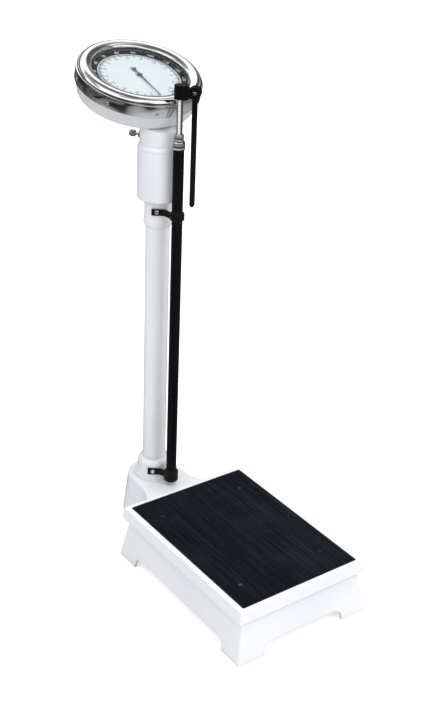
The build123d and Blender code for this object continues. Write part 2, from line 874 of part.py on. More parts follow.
def bell_crank():
    # A slotted arm towards the draw rod and a slotted arm up to the rack, at rest
    swing = degrees(atan2(draw_stroke / 2, crank_reach))
    arm_out = hypot(crank_reach, draw_stroke / 2)
    arm_up = hypot(crank_rise, rack_stroke / 2)
    outward = 180 - dial_tilt - swing
    upward = 90 - degrees(atan2(rack_stroke / 2, crank_rise))
    shape = Circle(5.0)
    for turn, reach in ((outward, arm_out), (upward, arm_up)):
        bar = Rot(0, 0, turn) * Pos(reach / 2 + 2, 0) * Rectangle(reach + 4, 7.4)
        shape += bar
    for turn, reach, near in ((outward, arm_out, crank_reach), (upward, arm_up, crank_rise)):
        middle = (reach + near) / 2
        slot = SlotOverall(reach - near + 2 * rod_pin + 2, 2 * (rod_pin + 0.35))
        shape -= Rot(0, 0, turn) * Pos(middle, 0) * slot
    crank = side_plate(Pos(pivot_v, pivot_h) * shape, -crank_plate / 2, crank_plate / 2)
    crank += rod_x_axis(4.2, 7.6, pivot_v, pivot_h)
    crank -= rod_x_axis(pivot_radius + running, 9, pivot_v, pivot_h)
    return on_dial(crank)


def rack():
    # Straight teeth along its inner edge, and a pin across its end in the crank's slot
    pitch = pi * gear_module
    tip = pinion_radius - 0.8 * gear_module
    root = pinion_radius + gear_module
    lean = tan(radians(20))
    half_tip = pitch / 4 - tooth_play / 2 - 0.8 * gear_module * lean
    half_root = pitch / 4 - tooth_play / 2 + gear_module * lean
    first = -3
    last = int((rack_stroke + 4) / pitch) + 1
    points = []
    for i in range(first, last + 1):
        v = i * pitch
        points += [(root, v - half_root), (tip, v - half_tip), (tip, v + half_tip), (root, v + half_root)]
    end = last * pitch + pitch / 2
    points += [(root, end), (rack_edge(), end), (rack_edge(), rack_pin_v - 4), (root + 1, rack_pin_v - 4)]
    points += [(root + 1, first * pitch - pitch), (root, first * pitch - pitch)]
    bar = extrude(make_face(Polyline(*points, close=True)), rack_height)
    bar = Pos(0, 0, rack_h - rack_height / 2) * bar
    pin = rod_x_axis(rod_pin, (root + 5) / 2, rack_pin_v, rack_h)
    bar += Pos((root + 5) / 2 - 3, 0, 0) * pin
    return on_dial(bar)


def tooth_half(radius):
    # Half the angle that a pinion tooth takes up at a radius, from its involute flank
    base = pinion_radius * cos(radians(20))
    at = max(radius, base)
    alpha = atan2(sqrt(at * at - base * base), base)
    pitch_half = pi / (2 * pinion_teeth) - tooth_play / (2 * pinion_radius)
    pitch_alpha = radians(20)
    return pitch_half + tan(pitch_alpha) - pitch_alpha - tan(alpha) + alpha


def pinion():
    tip = pinion_radius + 0.8 * gear_module
    root = pinion_radius - gear_module
    base = pinion_radius * cos(radians(20))
    radii = [root, base, pinion_radius, tip]
    flank = [(r, tooth_half(r)) for r in radii]
    points = []
    for i in range(pinion_teeth):
        centre = 2 * pi * (i + 0.5) / pinion_teeth
        sides = [(r, centre - a) for r, a in flank] + [(r, centre + a) for r, a in reversed(flank)]
        points += [(r * cos(a), r * sin(a)) for r, a in sides]
    gear = extrude(make_face(Polyline(*points, close=True)), 7)
    gear = Pos(0, 0, rack_h - 3.5) * gear
    gear += tube(2.6, 0, rack_h + 3.5, bridge_h - 1 - fit)
    return on_dial(gear - tube(shaft_thin, 0, rack_h - 10, bridge_h))


def pointer_shaft():
    low = plate_h - plate_sheet
    shaft = tube(shaft_thin, 0, low, pointer_h + 1.6)
    shaft += tube(2.2, 0, plate_h + 1 + fit, rack_h - 3.5)
    return on_dial(shaft)


def pointer():
    # A long tapered needle, with an arrow-shaped counterweight on its tail
    needle = Polyline((-1.6, 0), (-0.5, -pointer_length), (0.5, -pointer_length), (1.6, 0), close=True)
    tail = Polyline((-1.4, 0), (-1.4, pointer_tail - 12), (-4.2, pointer_tail - 8), (-4.2, pointer_tail),
                    (0, pointer_tail - 4), (4.2, pointer_tail), (4.2, pointer_tail - 8),
                    (1.4, pointer_tail - 12), (1.4, 0), close=True)
    shape = make_face(needle) + make_face(tail) + Circle(5)
    shape -= Circle(shaft_thin)
    return on_dial(Pos(0, 0, pointer_h) * extrude(shape, 0.7))


def pointer_hub():
    hub = tube(3.4, 0, pointer_h + 0.7, pointer_h + 1.9)
    hub -= tube(shaft_thin, 0, pointer_h, pointer_h + 1.6)
    return on_dial(chamfer(hub.faces().sort_by(Axis.Z)[-1].edges(), 0.5))


# Height rod: fixed outer tube, sliding middle tube and sliding inner rod

middle_top = lower_ferrule_bottom + lower_ferrule_height + upper_ferrule_height + fit
block_bottom = middle_top + inner_exposed


def outer_rod():
    return rod_place * tube(outer_radius, outer_radius - tube_wall, cap_bottom + cap_floor, outer_top)


def rod_end_cap():
    # The moulded cup that holds the rod's foot, with its strap round to the column foot
    top = cap_bottom + cap_height
    cup = tube(cap_radius, 0, cap_bottom, top)
    cup = chamfer(cup.edges().sort_by(Axis.Z)[0], 2.5)
    cup = rod_place * cup
    cup += bracket_strap(foot_body, foot_bracket_z, foot_bracket_height)
    return cup - rod_place * tube(outer_radius, 0, cap_bottom + cap_floor, top)


def rod_in_bracket():
    turn = radians(view_turn)
    x = rod_x * cos(turn) - rod_reach * sin(turn)
    y = -rod_x * sin(turn) - rod_reach * cos(turn)
    return x, y


def bar_between(p, q):
    length = hypot(q[0] - p[0], q[1] - p[1])
    turn = degrees(atan2(q[1] - p[1], q[0] - p[0]))
    return Pos((p[0] + q[0]) / 2, (p[1] + q[1]) / 2) * Rot(0, 0, turn) * SlotOverall(length + strap, strap)


def bracket_strap(radius, z, height):
    # A flat strap laid against a round face, bent out to the rod's clamp ring
    line = -radius - strap / 2
    rod = rod_in_bracket()
    start = (-strap_end, line)
    bend = (strap_run, line)
    reach = (rod[0] - outer_radius - strap / 2, rod[1])
    shape = bar_between(start, bend) + bar_between(bend, reach)
    band = extrude(shape, height)
    hole = Pos(0, line, height / 2) * Rot(90, 0, 0) * Cylinder(bracket_screw, 3 * strap)
    band -= hole
    return Location((0, column_y, z - height / 2)) * Rot(0, 0, view_turn) * band


def rod_clamp():
    low = bracket_z - bracket_height / 2
    ring = rod_place * tube(outer_radius + clamp_wall, 0, low, low + bracket_height)
    clamp = ring + bracket_strap(column_radius + socket_wall, bracket_z, bracket_height)
    return clamp - rod_place * tube(outer_radius, 0, low - 1, low + bracket_height + 1)


def bracket_screws():
    # One screw through each strap into the column
    screws = []
    for radius, z, deep in ((column_radius + socket_wall, bracket_z, 4.5), (foot_body, foot_bracket_z, 7)):
        crown = 2.0
        profile = [(0, -deep - strap), (bracket_screw, -deep - strap), (bracket_screw, 0)]
        profile += [(4.2, 0), (4.2, 0.8), (2.6, crown), (0, crown)]
        place = Location((0, column_y, z)) * Rot(0, 0, view_turn) * Pos(0, -radius - strap, 0)
        screws.append(place * Rot(90, 0, 0) * turned(*profile))
    return Compound(screws)


def screw_hole(radius, z, deep):
    place = Location((0, column_y, z)) * Rot(0, 0, view_turn) * Pos(0, -radius - 1, 0)
    return place * Rot(90, 0, 0) * tube(bracket_screw, 0, -deep - 1, 2)


def lower_ferrule():
    low = lower_ferrule_bottom
    top = low + lower_ferrule_height
    r = lower_ferrule_radius
    bore = middle_radius + running
    profile = [(outer_radius, low), (r, low), (r, top - 2.5), (r - 2.2, top), (bore, top)]
    profile += [(bore, outer_top), (outer_radius, outer_top)]
    return rod_place * turned(*profile)


def middle_tube():
    low = cap_bottom + cap_floor + 8
    return rod_place * tube(middle_radius, middle_radius - tube_wall, low, middle_top - 4)


def middle_bush():
    # A slit nylon guide on the middle tube's foot, running in the outer tube
    low = cap_bottom + cap_floor + 8
    outer = outer_radius - tube_wall - running
    bush = tube(outer, middle_radius, low, low + bush_length)
    bush -= box(-0.8, 0.8, 0, outer_radius, low - 1, low + bush_length + 1)
    return rod_place * bush


def upper_ferrule():
    low = lower_ferrule_bottom + lower_ferrule_height + fit
    r = upper_ferrule_radius
    bore = inner_radius + running
    seat = middle_top - 4
    profile = [(middle_radius, low), (r, low), (r, middle_top - 1.6), (r - 1.4, middle_top)]
    profile += [(bore, middle_top), (bore, seat), (middle_radius, seat)]
    return rod_place * turned(*profile)


def inner_rod():
    low = middle_top - height_stroke - engage_inner
    rod = tube(inner_radius, inner_radius - tube_wall, low, block_bottom + block_height - 5)
    flat = inner_radius - 0.5
    rod -= box(-inner_radius, inner_radius, -inner_radius - 1, -flat, low + bush_length, block_bottom)
    return rod_place * Rot(0, 0, view_turn) * rod


def inner_bush():
    low = middle_top - height_stroke - engage_inner
    outer = middle_radius - tube_wall - running
    bush = tube(outer, inner_radius, low, low + bush_length)
    bush -= box(-0.6, 0.6, 0, middle_radius, low - 1, low + bush_length + 1)
    return rod_place * bush


# Headpiece: a block that swivels on the rod's top, and an arm that folds up from it


def head_place():
    return rod_place * Rot(0, 0, head_turn)


def head_block():
    top = block_bottom + block_height
    half = block_depth / 2
    outline = Circle(block_back) + Pos(block_back / 2 + 2, 0) * Rectangle(block_back + 4, 2 * half)
    block = extrude(outline, block_height)
    block = Pos(0, 0, block_bottom) * block
    neck_end = boss_reach - boss_radius + 2
    block += box(0, neck_end, -half + 2, half - 2, block_bottom + 4, top - 4)
    centre = block_bottom + block_height / 2
    ear = Pos(boss_reach, 0, centre) * Rot(90, 0, 0) * Cylinder(boss_radius, block_depth)
    block += ear
    slot = Pos(boss_reach, 0, centre) * Rot(90, 0, 0) * Cylinder(boss_radius + 0.6, arm_depth + 2 * fit)
    block -= slot
    block += box(0, boss_reach - boss_radius - 1, -half + 2, half - 2, block_bottom + 4, top - 4)
    block -= Pos(boss_reach, 0, centre) * Rot(90, 0, 0) * Cylinder(arm_pin, 2 * block_depth)
    block -= tube(inner_radius + running, 0, block_bottom - 1, top - 5)
    return head_place() * block


def arm_pivot():
    # The bright pin through the fork's ears
    centre = block_bottom + block_height / 2
    pin = Pos(boss_reach, 0, centre) * Rot(90, 0, 0) * Cylinder(arm_pin, block_depth + 1.2)
    return head_place() * chamfer(pin.edges(), 0.5)


def head_arm():
    centre = block_bottom + block_height / 2
    half = arm_width / 2
    outline = Polyline((-half, 0), (-half, -arm_length + 4), (-1.5, -arm_length), (1.5, -arm_length),
                       (half, -arm_length + 4), (half, 0), close=True)
    shape = make_face(outline) + Circle(boss_radius - 1.2)
    arm = extrude(Plane.XZ * shape, arm_depth / 2, both=True)
    arm -= Rot(90, 0, 0) * Cylinder(arm_pin + running, 2 * arm_depth)
    return head_place() * Pos(boss_reach, 0, centre) * arm


def with_screw_hole(shape, radius, z, deep):
    return shape - screw_hole(radius, z, deep)


collar_face = column_radius + socket_wall
pieces = {
    "platform_tray": platform_tray(),
    "platform_mat": platform_mat(),
    "mat_studs": mat_studs(),
    "load_posts": load_posts(),
    "base_casting": base_casting(),
    "fulcrum_bearings": fulcrum_bearings(),
    "long_lever": long_lever(),
    "long_lever_knives": lever_knives(front_fulcrum, front_load),
    "short_lever": short_lever(),
    "short_lever_knives": lever_knives(back_fulcrum, back_load),
    "lever_shackle": lever_shackle(),
    "column_foot": with_screw_hole(column_foot(), foot_body, foot_bracket_z, 7),
    "foot_bolts": foot_bolts(),
    "column_tube": with_screw_hole(column_tube(), collar_face, bracket_z, 4.5),
    "head_collar": with_screw_hole(head_collar(), collar_face, bracket_z, 4.5),
    "spring_housing": spring_housing(),
    "head_neck": head_neck(),
    "main_spring": main_spring(),
    "spring_seat": spring_seat(),
    "draw_rod": draw_rod(),
    "draw_hook": draw_hook(),
    "draw_fork": draw_fork(),
    "zero_bush": zero_bush(),
    "zero_screw": zero_screw(),
    "zero_knob": zero_knob(),
    "dial_case": dial_case(),
    "dial_bezel": dial_bezel(),
    "bezel_screws": bezel_screw_heads(),
    "dial_glass": dial_glass(),
    "glass_gasket": glass_gasket(),
    "dial_face": dial_face(),
    "numeral_ring": numeral_ring(),
    "face_posts": face_posts(),
    "movement_plate": movement_plate(),
    "movement_bridge": movement_bridge(),
    "movement_pillars": movement_pillars(),
    "shaft_bushes": shaft_bushes(),
    "crank_pin": crank_pin(),
    "rack_guide": rack_guide(),
    "bell_crank": bell_crank(),
    "rack": rack(),
    "pinion": pinion(),
    "pointer_shaft": pointer_shaft(),
    "pointer": pointer(),
    "pointer_hub": pointer_hub(),
    "outer_rod": outer_rod(),
    "rod_end_cap": rod_end_cap(),
    "rod_clamp": rod_clamp(),
    "bracket_screws": bracket_screws(),
    "lower_ferrule": lower_ferrule(),
    "middle_tube": middle_tube(),
    "middle_bush": middle_bush(),
    "upper_ferrule": upper_ferrule(),
    "inner_rod": inner_rod(),
    "inner_bush": inner_bush(),
    "head_block": head_block(),
    "arm_pivot": arm_pivot(),
    "head_arm": head_arm(),
}

os.makedirs("parts", exist_ok=True)
for name, piece in pieces.items():
    export_step(piece, f"parts/{name}.step")
print("column_y", round(column_y, 3), "tray_y", round(tray_y, 3), "rod", rod_x, round(rod_y, 3))
print("pivot", round(pivot_y, 3), round(pivot_z, 3), "rack stroke", round(rack_stroke, 3))
print("platform travel", round(platform_travel, 3), "lever swing", round(lever_swing, 3))
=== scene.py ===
import json
from math import cos, pi, radians, sin

import bmesh
import bpy
from mathutils import Matrix, Vector


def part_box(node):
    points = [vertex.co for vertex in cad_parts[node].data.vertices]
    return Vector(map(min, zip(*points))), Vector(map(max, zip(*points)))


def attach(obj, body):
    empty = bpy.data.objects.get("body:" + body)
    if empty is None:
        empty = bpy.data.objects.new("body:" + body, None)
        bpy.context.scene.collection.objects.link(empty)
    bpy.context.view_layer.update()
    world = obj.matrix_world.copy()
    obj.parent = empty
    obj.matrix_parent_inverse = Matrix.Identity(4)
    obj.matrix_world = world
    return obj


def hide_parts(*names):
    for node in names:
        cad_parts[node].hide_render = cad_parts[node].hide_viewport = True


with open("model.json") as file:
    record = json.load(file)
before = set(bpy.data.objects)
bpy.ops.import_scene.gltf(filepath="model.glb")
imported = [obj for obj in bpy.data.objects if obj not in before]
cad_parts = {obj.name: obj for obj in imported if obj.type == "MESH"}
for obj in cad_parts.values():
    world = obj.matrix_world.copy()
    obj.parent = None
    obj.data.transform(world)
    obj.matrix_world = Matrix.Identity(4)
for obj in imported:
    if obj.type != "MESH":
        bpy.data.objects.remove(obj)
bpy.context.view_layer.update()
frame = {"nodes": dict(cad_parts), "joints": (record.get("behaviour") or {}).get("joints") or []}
nodes = frame["nodes"]
joints = {joint["name"]: joint for joint in frame["joints"]}

# Studio: the scale stands on a white floor, in even light from two large soft lamps.
# Polished metal mirrors a room of its own, with bright screens, a dim side wall and a dark doorway.
# The camera looks down from the front left, a little rolled.
floor_size = 12.0
floor_white = (0.80, 0.80, 0.81, 1)
floor_lift = 0.62
floor_patch_scale = 0.75
floor_patches = [(0.38, 0.05), (0.45, 0.34), (0.60, 0.62)]
floor_reach = 6.0
floor_fading = [(0.12, 1.0), (0.35, 0.52), (0.60, 0.20)]
room_levels = [(0.30, 0.34), (0.48, 0.03), (0.545, 0.04), (0.60, 0.85),
               (0.70, 1.0), (0.90, 1.0), (0.97, 0.35)]
screen_scale = 1.7
screens = [(0.38, 0.30), (0.46, 1.0)]
side_wall = [(0.555, 1.0), (0.61, 0.22), (0.86, 0.34)]
doorway_ahead = [(0.62, 1.0), (0.70, 0.10)]
doorway_level = [(0.245, 1.0), (0.27, 0.0), (0.50, 0.0), (0.56, 1.0)]
room_brightness = 1.35
light_below = (0.45, 0.46, 0.48, 1)
light_above = (1.09, 1.10, 1.12, 1)
lamp_size = 1.8
key_place, key_aim, key_power = (1.2, -2.6, 2.6), (0, 0, 0.3), 37
fill_place, fill_aim, fill_power = (-2.4, -0.6, 2.2), (0, 0, 0.4), 8
sensor_width = 36
lens = 61.97
camera_place = (-1.1408, -1.5783, 1.4051)
camera_turn = (63.242, -2.174, -35.618)


def feed(tree, made, inputs):
    """Links or sets the inputs of a shader node."""
    for key, value in inputs.items():
        if isinstance(value, bpy.types.NodeSocket):
            tree.links.new(value, made.inputs[key])
        else:
            made.inputs[key].default_value = value
    return made


def add(tree, kind, inputs=None, **settings):
    """Adds a shader node, with its settings and inputs."""
    made = tree.nodes.new("ShaderNode" + kind)
    for key, value in settings.items():
        setattr(made, key, value)
    return feed(tree, made, inputs or {})


def times(tree, first, second):
    """One colour or vector multiplied by another."""
    return add(tree, "VectorMath", {0: first, 1: second}, operation="MULTIPLY").outputs[0]


def noise(tree, where, scale, detail, **inputs):
    """Slow or fine random change over a surface."""
    return add(tree, "TexNoise", {"Vector": where, "Scale": scale, "Detail": detail, **inputs}).outputs["Fac"]


def new_material(name):
    """An empty material with its output node."""
    material = bpy.data.materials.new(name)
    material.use_nodes = True
    material.node_tree.nodes.clear()
    return material, material.node_tree, add(material.node_tree, "OutputMaterial")


def blend_of(tree, amount, first, second):
    """A colour between two others, by an amount that may change over the surface."""
    return add(tree, "Mix", {0: amount, 6: first, 7: second}, data_type="RGBA").outputs[2]


def ramp_of(tree, amount, stops):
    """Grey or coloured stops along an amount from 0 to 1."""
    ramp = add(tree, "ValToRGB", {"Fac": amount})
    elements = ramp.color_ramp.elements
    while len(elements) < len(stops):
        elements.new(0.5)
    for element, (place, colour) in zip(elements, stops):
        element.position = place
        element.color = colour if isinstance(colour, tuple) else (colour, colour, colour, 1)
    return ramp.outputs["Color"]


def mixed_shader(tree, amount, first, second):
    """A shader between two others."""
    mix = add(tree, "MixShader", {"Fac": amount})
    tree.links.new(first.outputs[0], mix.inputs[1])
    tree.links.new(second.outputs[0], mix.inputs[2])
    return mix


def white_floor():
    """The sweep under the scale: white to the eye, patchy and fading where metal mirrors it."""
    mesh = bpy.data.meshes.new("floor")
    half = floor_size / 2
    corners = [(-half, -half, 0), (half, -half, 0), (half, half, 0), (-half, half, 0)]
    mesh.from_pydata(corners, [], [(0, 1, 2, 3)])
    plane = bpy.data.objects.new("floor", mesh)
    bpy.context.scene.collection.objects.link(plane)
    material, tree, output = new_material("white_sweep")
    seen = add(tree, "LightPath")
    matt = add(tree, "BsdfDiffuse", {"Color": floor_white})
    glow = add(tree, "Emission", {"Color": (1, 1, 1, 1), "Strength": floor_lift})
    lit = add(tree, "AddShader")
    tree.links.new(matt.outputs[0], lit.inputs[0])
    tree.links.new(glow.outputs[0], lit.inputs[1])
    where = add(tree, "TexCoord").outputs["Object"]
    tone = ramp_of(tree, noise(tree, where, floor_patch_scale, 0.0), floor_patches)
    away = add(tree, "VectorMath", {0: where}, operation="LENGTH")
    reach = add(tree, "MapRange", {"Value": away.outputs["Value"], "From Min": 0.0, "From Max": floor_reach})
    fading = ramp_of(tree, reach.outputs["Result"], floor_fading)
    mirrored = add(tree, "Emission", {"Color": times(tree, tone, fading), "Strength": 1.0})
    shown = mixed_shader(tree, seen.outputs["Is Camera Ray"], matt, lit)
    last = mixed_shader(tree, seen.outputs["Is Glossy Ray"], shown, mirrored)
    tree.links.new(last.outputs[0], output.inputs["Surface"])
    mesh.materials.append(material)


def studio_world():
    """White behind the scale, even light on matt surfaces, and the mirrored room on polished ones."""
    world = bpy.data.worlds.new("studio")
    bpy.context.scene.world = world
    world.use_nodes = True
    tree = world.node_tree
    tree.nodes.clear()
    output = add(tree, "OutputWorld")
    seen = add(tree, "LightPath")
    direction = add(tree, "TexCoord").outputs["Generated"]
    parts = add(tree, "SeparateXYZ", {"Vector": direction})
    height = add(tree, "MapRange", {"Value": parts.outputs["Z"], "From Min": -1.0, "From Max": 1.0})
    room = ramp_of(tree, height.outputs["Result"], room_levels)
    room = times(tree, room, ramp_of(tree, noise(tree, direction, screen_scale, 0.0), screens))
    room = times(tree, room, ramp_of(tree, parts.outputs["X"], side_wall))
    ahead = ramp_of(tree, parts.outputs["Y"], doorway_ahead)
    level = ramp_of(tree, parts.outputs["Z"], doorway_level)
    doorway = add(tree, "VectorMath", {0: ahead, 1: level}, operation="MAXIMUM")
    room = times(tree, room, doorway.outputs[0])
    lifted = add(tree, "VectorMath", {0: room, "Scale": room_brightness}, operation="SCALE")
    even = blend_of(tree, height.outputs["Result"], light_below, light_above)
    soft = blend_of(tree, seen.outputs["Is Glossy Ray"], even, lifted.outputs[0])
    straight = {0: seen.outputs["Is Camera Ray"], 1: seen.outputs["Is Transmission Ray"]}
    clear = add(tree, "Math", straight, operation="MAXIMUM")
    colour = blend_of(tree, clear.outputs[0], soft, (1, 1, 1, 1))
    background = add(tree, "Background", {"Color": colour, "Strength": 1.0})
    tree.links.new(background.outputs[0], output.inputs["Surface"])


def soft_lamp(name, place, aim, power):
    """A large round lamp that no surface mirrors."""
    light = bpy.data.lights.new(name, "AREA")
    light.shape = "DISK"
    light.size = lamp_size
    light.energy = power
    lamp = bpy.data.objects.new(name, light)
    bpy.context.scene.collection.objects.link(lamp)
    lamp.location = place
    lamp.rotation_euler = (Vector(aim) - Vector(place)).to_track_quat("-Z", "Y").to_euler()
    lamp.visible_glossy = False


def photo_camera():
    """The camera, without depth of field."""
    data = bpy.data.cameras.new("camera")
    data.sensor_width = sensor_width
    data.lens = lens
    camera = bpy.data.objects.new("camera", data)
    bpy.context.scene.collection.objects.link(camera)
    camera.location = camera_place
    camera.rotation_euler = [radians(turn) for turn in camera_turn]
    bpy.context.scene.camera = camera


white_floor()
studio_world()
soft_lamp("key", key_place, key_aim, key_power)
soft_lamp("fill", fill_place, fill_aim, fill_power)
photo_camera()
bpy.context.scene.view_settings.view_transform = "Standard"


# Base casting: sand-cast iron with a wide flare, four feet and a tail under the column.
# It is stove enamelled white, so the skin is glossy and a little wavy; its corners are darker by painted
# shade mixed with soiling.
enamel_white = (0.86, 0.87, 0.885, 1)
enamel_shade = (0.80, 0.815, 0.84, 1)
# Dark colour for soiling and painted shade in the corners.
grime_and_shade_colour = (0.46, 0.45, 0.43, 1)


def effect(name, inputs, outputs):
    """A shader node group with named inputs and outputs."""
    tree = bpy.data.node_groups.new(name, "ShaderNodeTree")
    kinds = {float: "NodeSocketFloat", tuple: "NodeSocketColor"}
    for label, value in inputs.items():
        socket = tree.interface.new_socket(label, in_out="INPUT", socket_type=kinds[type(value)])
        socket.default_value = value
    for label, kind in outputs.items():
        tree.interface.new_socket(label, in_out="OUTPUT", socket_type=kinds[kind])
    return tree, tree.nodes.new("NodeGroupInput"), tree.nodes.new("NodeGroupOutput")


def placed(tree, group, **inputs):
    """Puts a node group into a material, with its own values."""
    return feed(tree, add(tree, "Group", node_tree=group), inputs)


def surfaced(material, tree, output, inputs):
    """Ends a material with its surface shader."""
    surface = add(tree, "BsdfPrincipled", inputs)
    tree.links.new(surface.outputs[0], output.inputs["Surface"])
    return material


def paint_film():
    """Sprayed and baked paint: slow changes of shade, orange peel, and a dull patch here and there."""
    white = (1.0, 1.0, 1.0, 1.0)
    tree, given, out = effect(
        "paint_film", {"Colour": white, "Shade": white, "Peel": 300.0, "Gloss": 0.2, "Dulling": 0.12},
        {"Color": tuple, "Roughness": float, "Height": float})
    where = add(tree, "TexCoord").outputs["Object"]
    slow = noise(tree, where, 5.0, 3.0, Roughness=0.55)
    shade = add(tree, "MapRange", {"Value": slow, "From Min": 0.35, "From Max": 0.7})
    colour = blend_of(tree, shade.outputs["Result"], given.outputs["Colour"], given.outputs["Shade"])
    peel = noise(tree, where, given.outputs["Peel"], 2.0)
    wave = noise(tree, where, 38.0, 1.0)
    height = add(tree, "Math", {0: peel, 1: 0.35, 2: wave}, operation="MULTIPLY_ADD")
    spots = noise(tree, where, 16.0, 5.0, Roughness=0.7)
    dull = add(tree, "MapRange", {"Value": spots, "From Min": 0.45, "From Max": 0.75})
    rough = add(tree, "Math", {
        0: dull.outputs["Result"], 1: given.outputs["Dulling"], 2: given.outputs["Gloss"]},
        operation="MULTIPLY_ADD")
    tree.links.new(colour, out.inputs["Color"])
    tree.links.new(rough.outputs[0], out.inputs["Roughness"])
    tree.links.new(height.outputs[0], out.inputs["Height"])
    return tree


def settled_grime():
    """Painted shade in corners and under edges, from ambient occlusion, broken into patches like dust and
    soiling.
    """
    tree, given, out = effect(
        "settled_grime",
        {"Colour": (1.0, 1.0, 1.0, 1.0), "Grime": (0.4, 0.4, 0.4, 1.0), "Reach": 0.012, "Amount": 0.5},
        {"Color": tuple, "Mask": float})
    # Ambient occlusion darkens corners and hollows: this is painted shade.
    near = add(tree, "AmbientOcclusion", {"Distance": given.outputs["Reach"]}, samples=6)
    hidden = add(tree, "MapRange", {"Value": near.outputs["AO"], "From Min": 0.95, "From Max": 0.35})
    where = add(tree, "TexCoord").outputs["Object"]
    patchy = noise(tree, where, 70.0, 4.0)
    kept = add(tree, "Math", {0: hidden.outputs["Result"], 1: patchy}, operation="MULTIPLY")
    mask = add(tree, "Math", {0: kept.outputs[0], 1: given.outputs["Amount"]}, operation="MULTIPLY")
    colour = blend_of(tree, mask.outputs[0], given.outputs["Colour"], given.outputs["Grime"])
    tree.links.new(mask.outputs[0], out.inputs["Mask"])
    tree.links.new(colour, out.inputs["Color"])
    return tree


film = paint_film()
corner_shade_and_grime = settled_grime()


def painted(name, colour, shade, gloss, peel=300.0, bump=0.06, shade_and_dirt=0.5, dulling=0.12, coat=0.3,
            round_edge=0.0006, shine=0.5):
    """Stove enamel or moulded skin over metal: paint film, painted shade with soiling in the corners,
    softened edges.
    """
    material, tree, output = new_material(name)
    skin = placed(tree, film, Colour=colour, Shade=shade, Peel=peel, Gloss=gloss, Dulling=dulling)
    soiled_and_shaded = placed(tree, corner_shade_and_grime, Colour=skin.outputs["Color"], Grime=grime_and_shade_colour, Amount=shade_and_dirt)
    edge = add(tree, "Bevel", {"Radius": round_edge}, samples=4)
    relief = add(tree, "Bump", {"Height": skin.outputs["Height"], "Strength": bump, "Distance": 0.001,
                                "Normal": edge.outputs["Normal"]})
    return surfaced(material, tree, output, {
        "Base Color": soiled_and_shaded.outputs["Color"], "Roughness": skin.outputs["Roughness"],
        "Normal": relief.outputs["Normal"], "Coat Weight": coat, "Coat Roughness": 0.08,
        "Specular IOR Level": shine})


def dress(material, *names):
    """Gives CAD nodes their finish."""
    for name in names:
        mesh = nodes[name].data
        mesh.materials.clear()
        mesh.materials.append(material)


cast_enamel = painted("cast_enamel", enamel_white, enamel_shade, 0.20,
                      bump=0.10, shade_and_dirt=0.55, round_edge=0.0012)
dress(cast_enamel, "base_casting", "column_foot")


# Platform tray: pressed from 2 mm sheet with a raised rim, in the same white as the base.
# It hides the lever train, which is left in raw castings, ground knife edges and drawn rods.
# Its strong corner darkening is painted shade, with some soiling, in its joints and hollows.
sheet_enamel = painted("sheet_enamel", enamel_white, enamel_shade, 0.16, bump=0.04, shade_and_dirt=0.9)
dress(sheet_enamel, "platform_tray", "column_tube", "head_collar", "spring_housing", "head_neck")


def raw_casting():
    """Unpainted grey iron: sandy grain, with brown blotches of old rust."""
    material, tree, output = new_material("grey_iron")
    where = add(tree, "TexCoord").outputs["Object"]
    grain = noise(tree, where, 420.0, 6.0, Roughness=0.7)
    dark_iron, pale_iron, rust = (0.085, 0.085, 0.088, 1), (0.14, 0.138, 0.135, 1), (0.17, 0.13, 0.105, 1)
    blotches = noise(tree, where, 30.0, 4.0)
    colour = ramp_of(tree, blotches, [(0.35, dark_iron), (0.62, pale_iron), (0.80, rust)])
    relief = add(tree, "Bump", {"Height": grain, "Strength": 0.5, "Distance": 0.0006})
    return surfaced(material, tree, output, {
        "Base Color": colour, "Metallic": 0.6, "Roughness": 0.62, "Normal": relief.outputs["Normal"]})


def drawn_marks():
    """Fine lines that drawing, turning or grinding leaves along one direction."""
    tree, given, out = effect(
        "drawn_marks", {"Along X": 40.0, "Along Y": 40.0, "Along Z": 4.0, "Gloss": 0.25, "Spread": 0.2},
        {"Roughness": float, "Height": float, "Wear": float})
    where = add(tree, "TexCoord").outputs["Object"]
    scale = add(tree, "CombineXYZ", {
        "X": given.outputs["Along X"], "Y": given.outputs["Along Y"], "Z": given.outputs["Along Z"]})
    lines = noise(tree, times(tree, where, scale.outputs[0]), 40.0, 5.0, Roughness=0.65)
    rough = add(tree, "Math", {0: lines, 1: given.outputs["Spread"], 2: given.outputs["Gloss"]},
                operation="MULTIPLY_ADD")
    rubbed = noise(tree, where, 28.0, 4.0)
    wear = add(tree, "MapRange", {"Value": rubbed, "From Min": 0.45, "From Max": 0.7})
    tree.links.new(rough.outputs[0], out.inputs["Roughness"])
    tree.links.new(lines, out.inputs["Height"])
    tree.links.new(wear.outputs["Result"], out.inputs["Wear"])
    return tree


marks = drawn_marks()


def bare_metal(name, colour, worn, along=(40.0, 40.0, 4.0), gloss=0.2, shade_and_dirt=0.4):
    """Bare or plated metal: drawn lines, rubbed patches, and painted shade with soiling in its corners."""
    material, tree, output = new_material(name)
    lines = placed(tree, marks, **{
        "Along X": along[0], "Along Y": along[1], "Along Z": along[2], "Gloss": gloss, "Spread": 0.2})
    rubbed = blend_of(tree, lines.outputs["Wear"], colour, worn)
    soiled_and_shaded = placed(tree, corner_shade_and_grime, Colour=rubbed, Grime=(0.10, 0.09, 0.08, 1), Amount=shade_and_dirt, Reach=0.004)
    relief = add(tree, "Bump", {"Height": lines.outputs["Height"], "Strength": 0.08, "Distance": 0.0004})
    return surfaced(material, tree, output, {
        "Base Color": soiled_and_shaded.outputs["Color"], "Metallic": 1.0, "Roughness": lines.outputs["Roughness"],
        "Normal": relief.outputs["Normal"]})


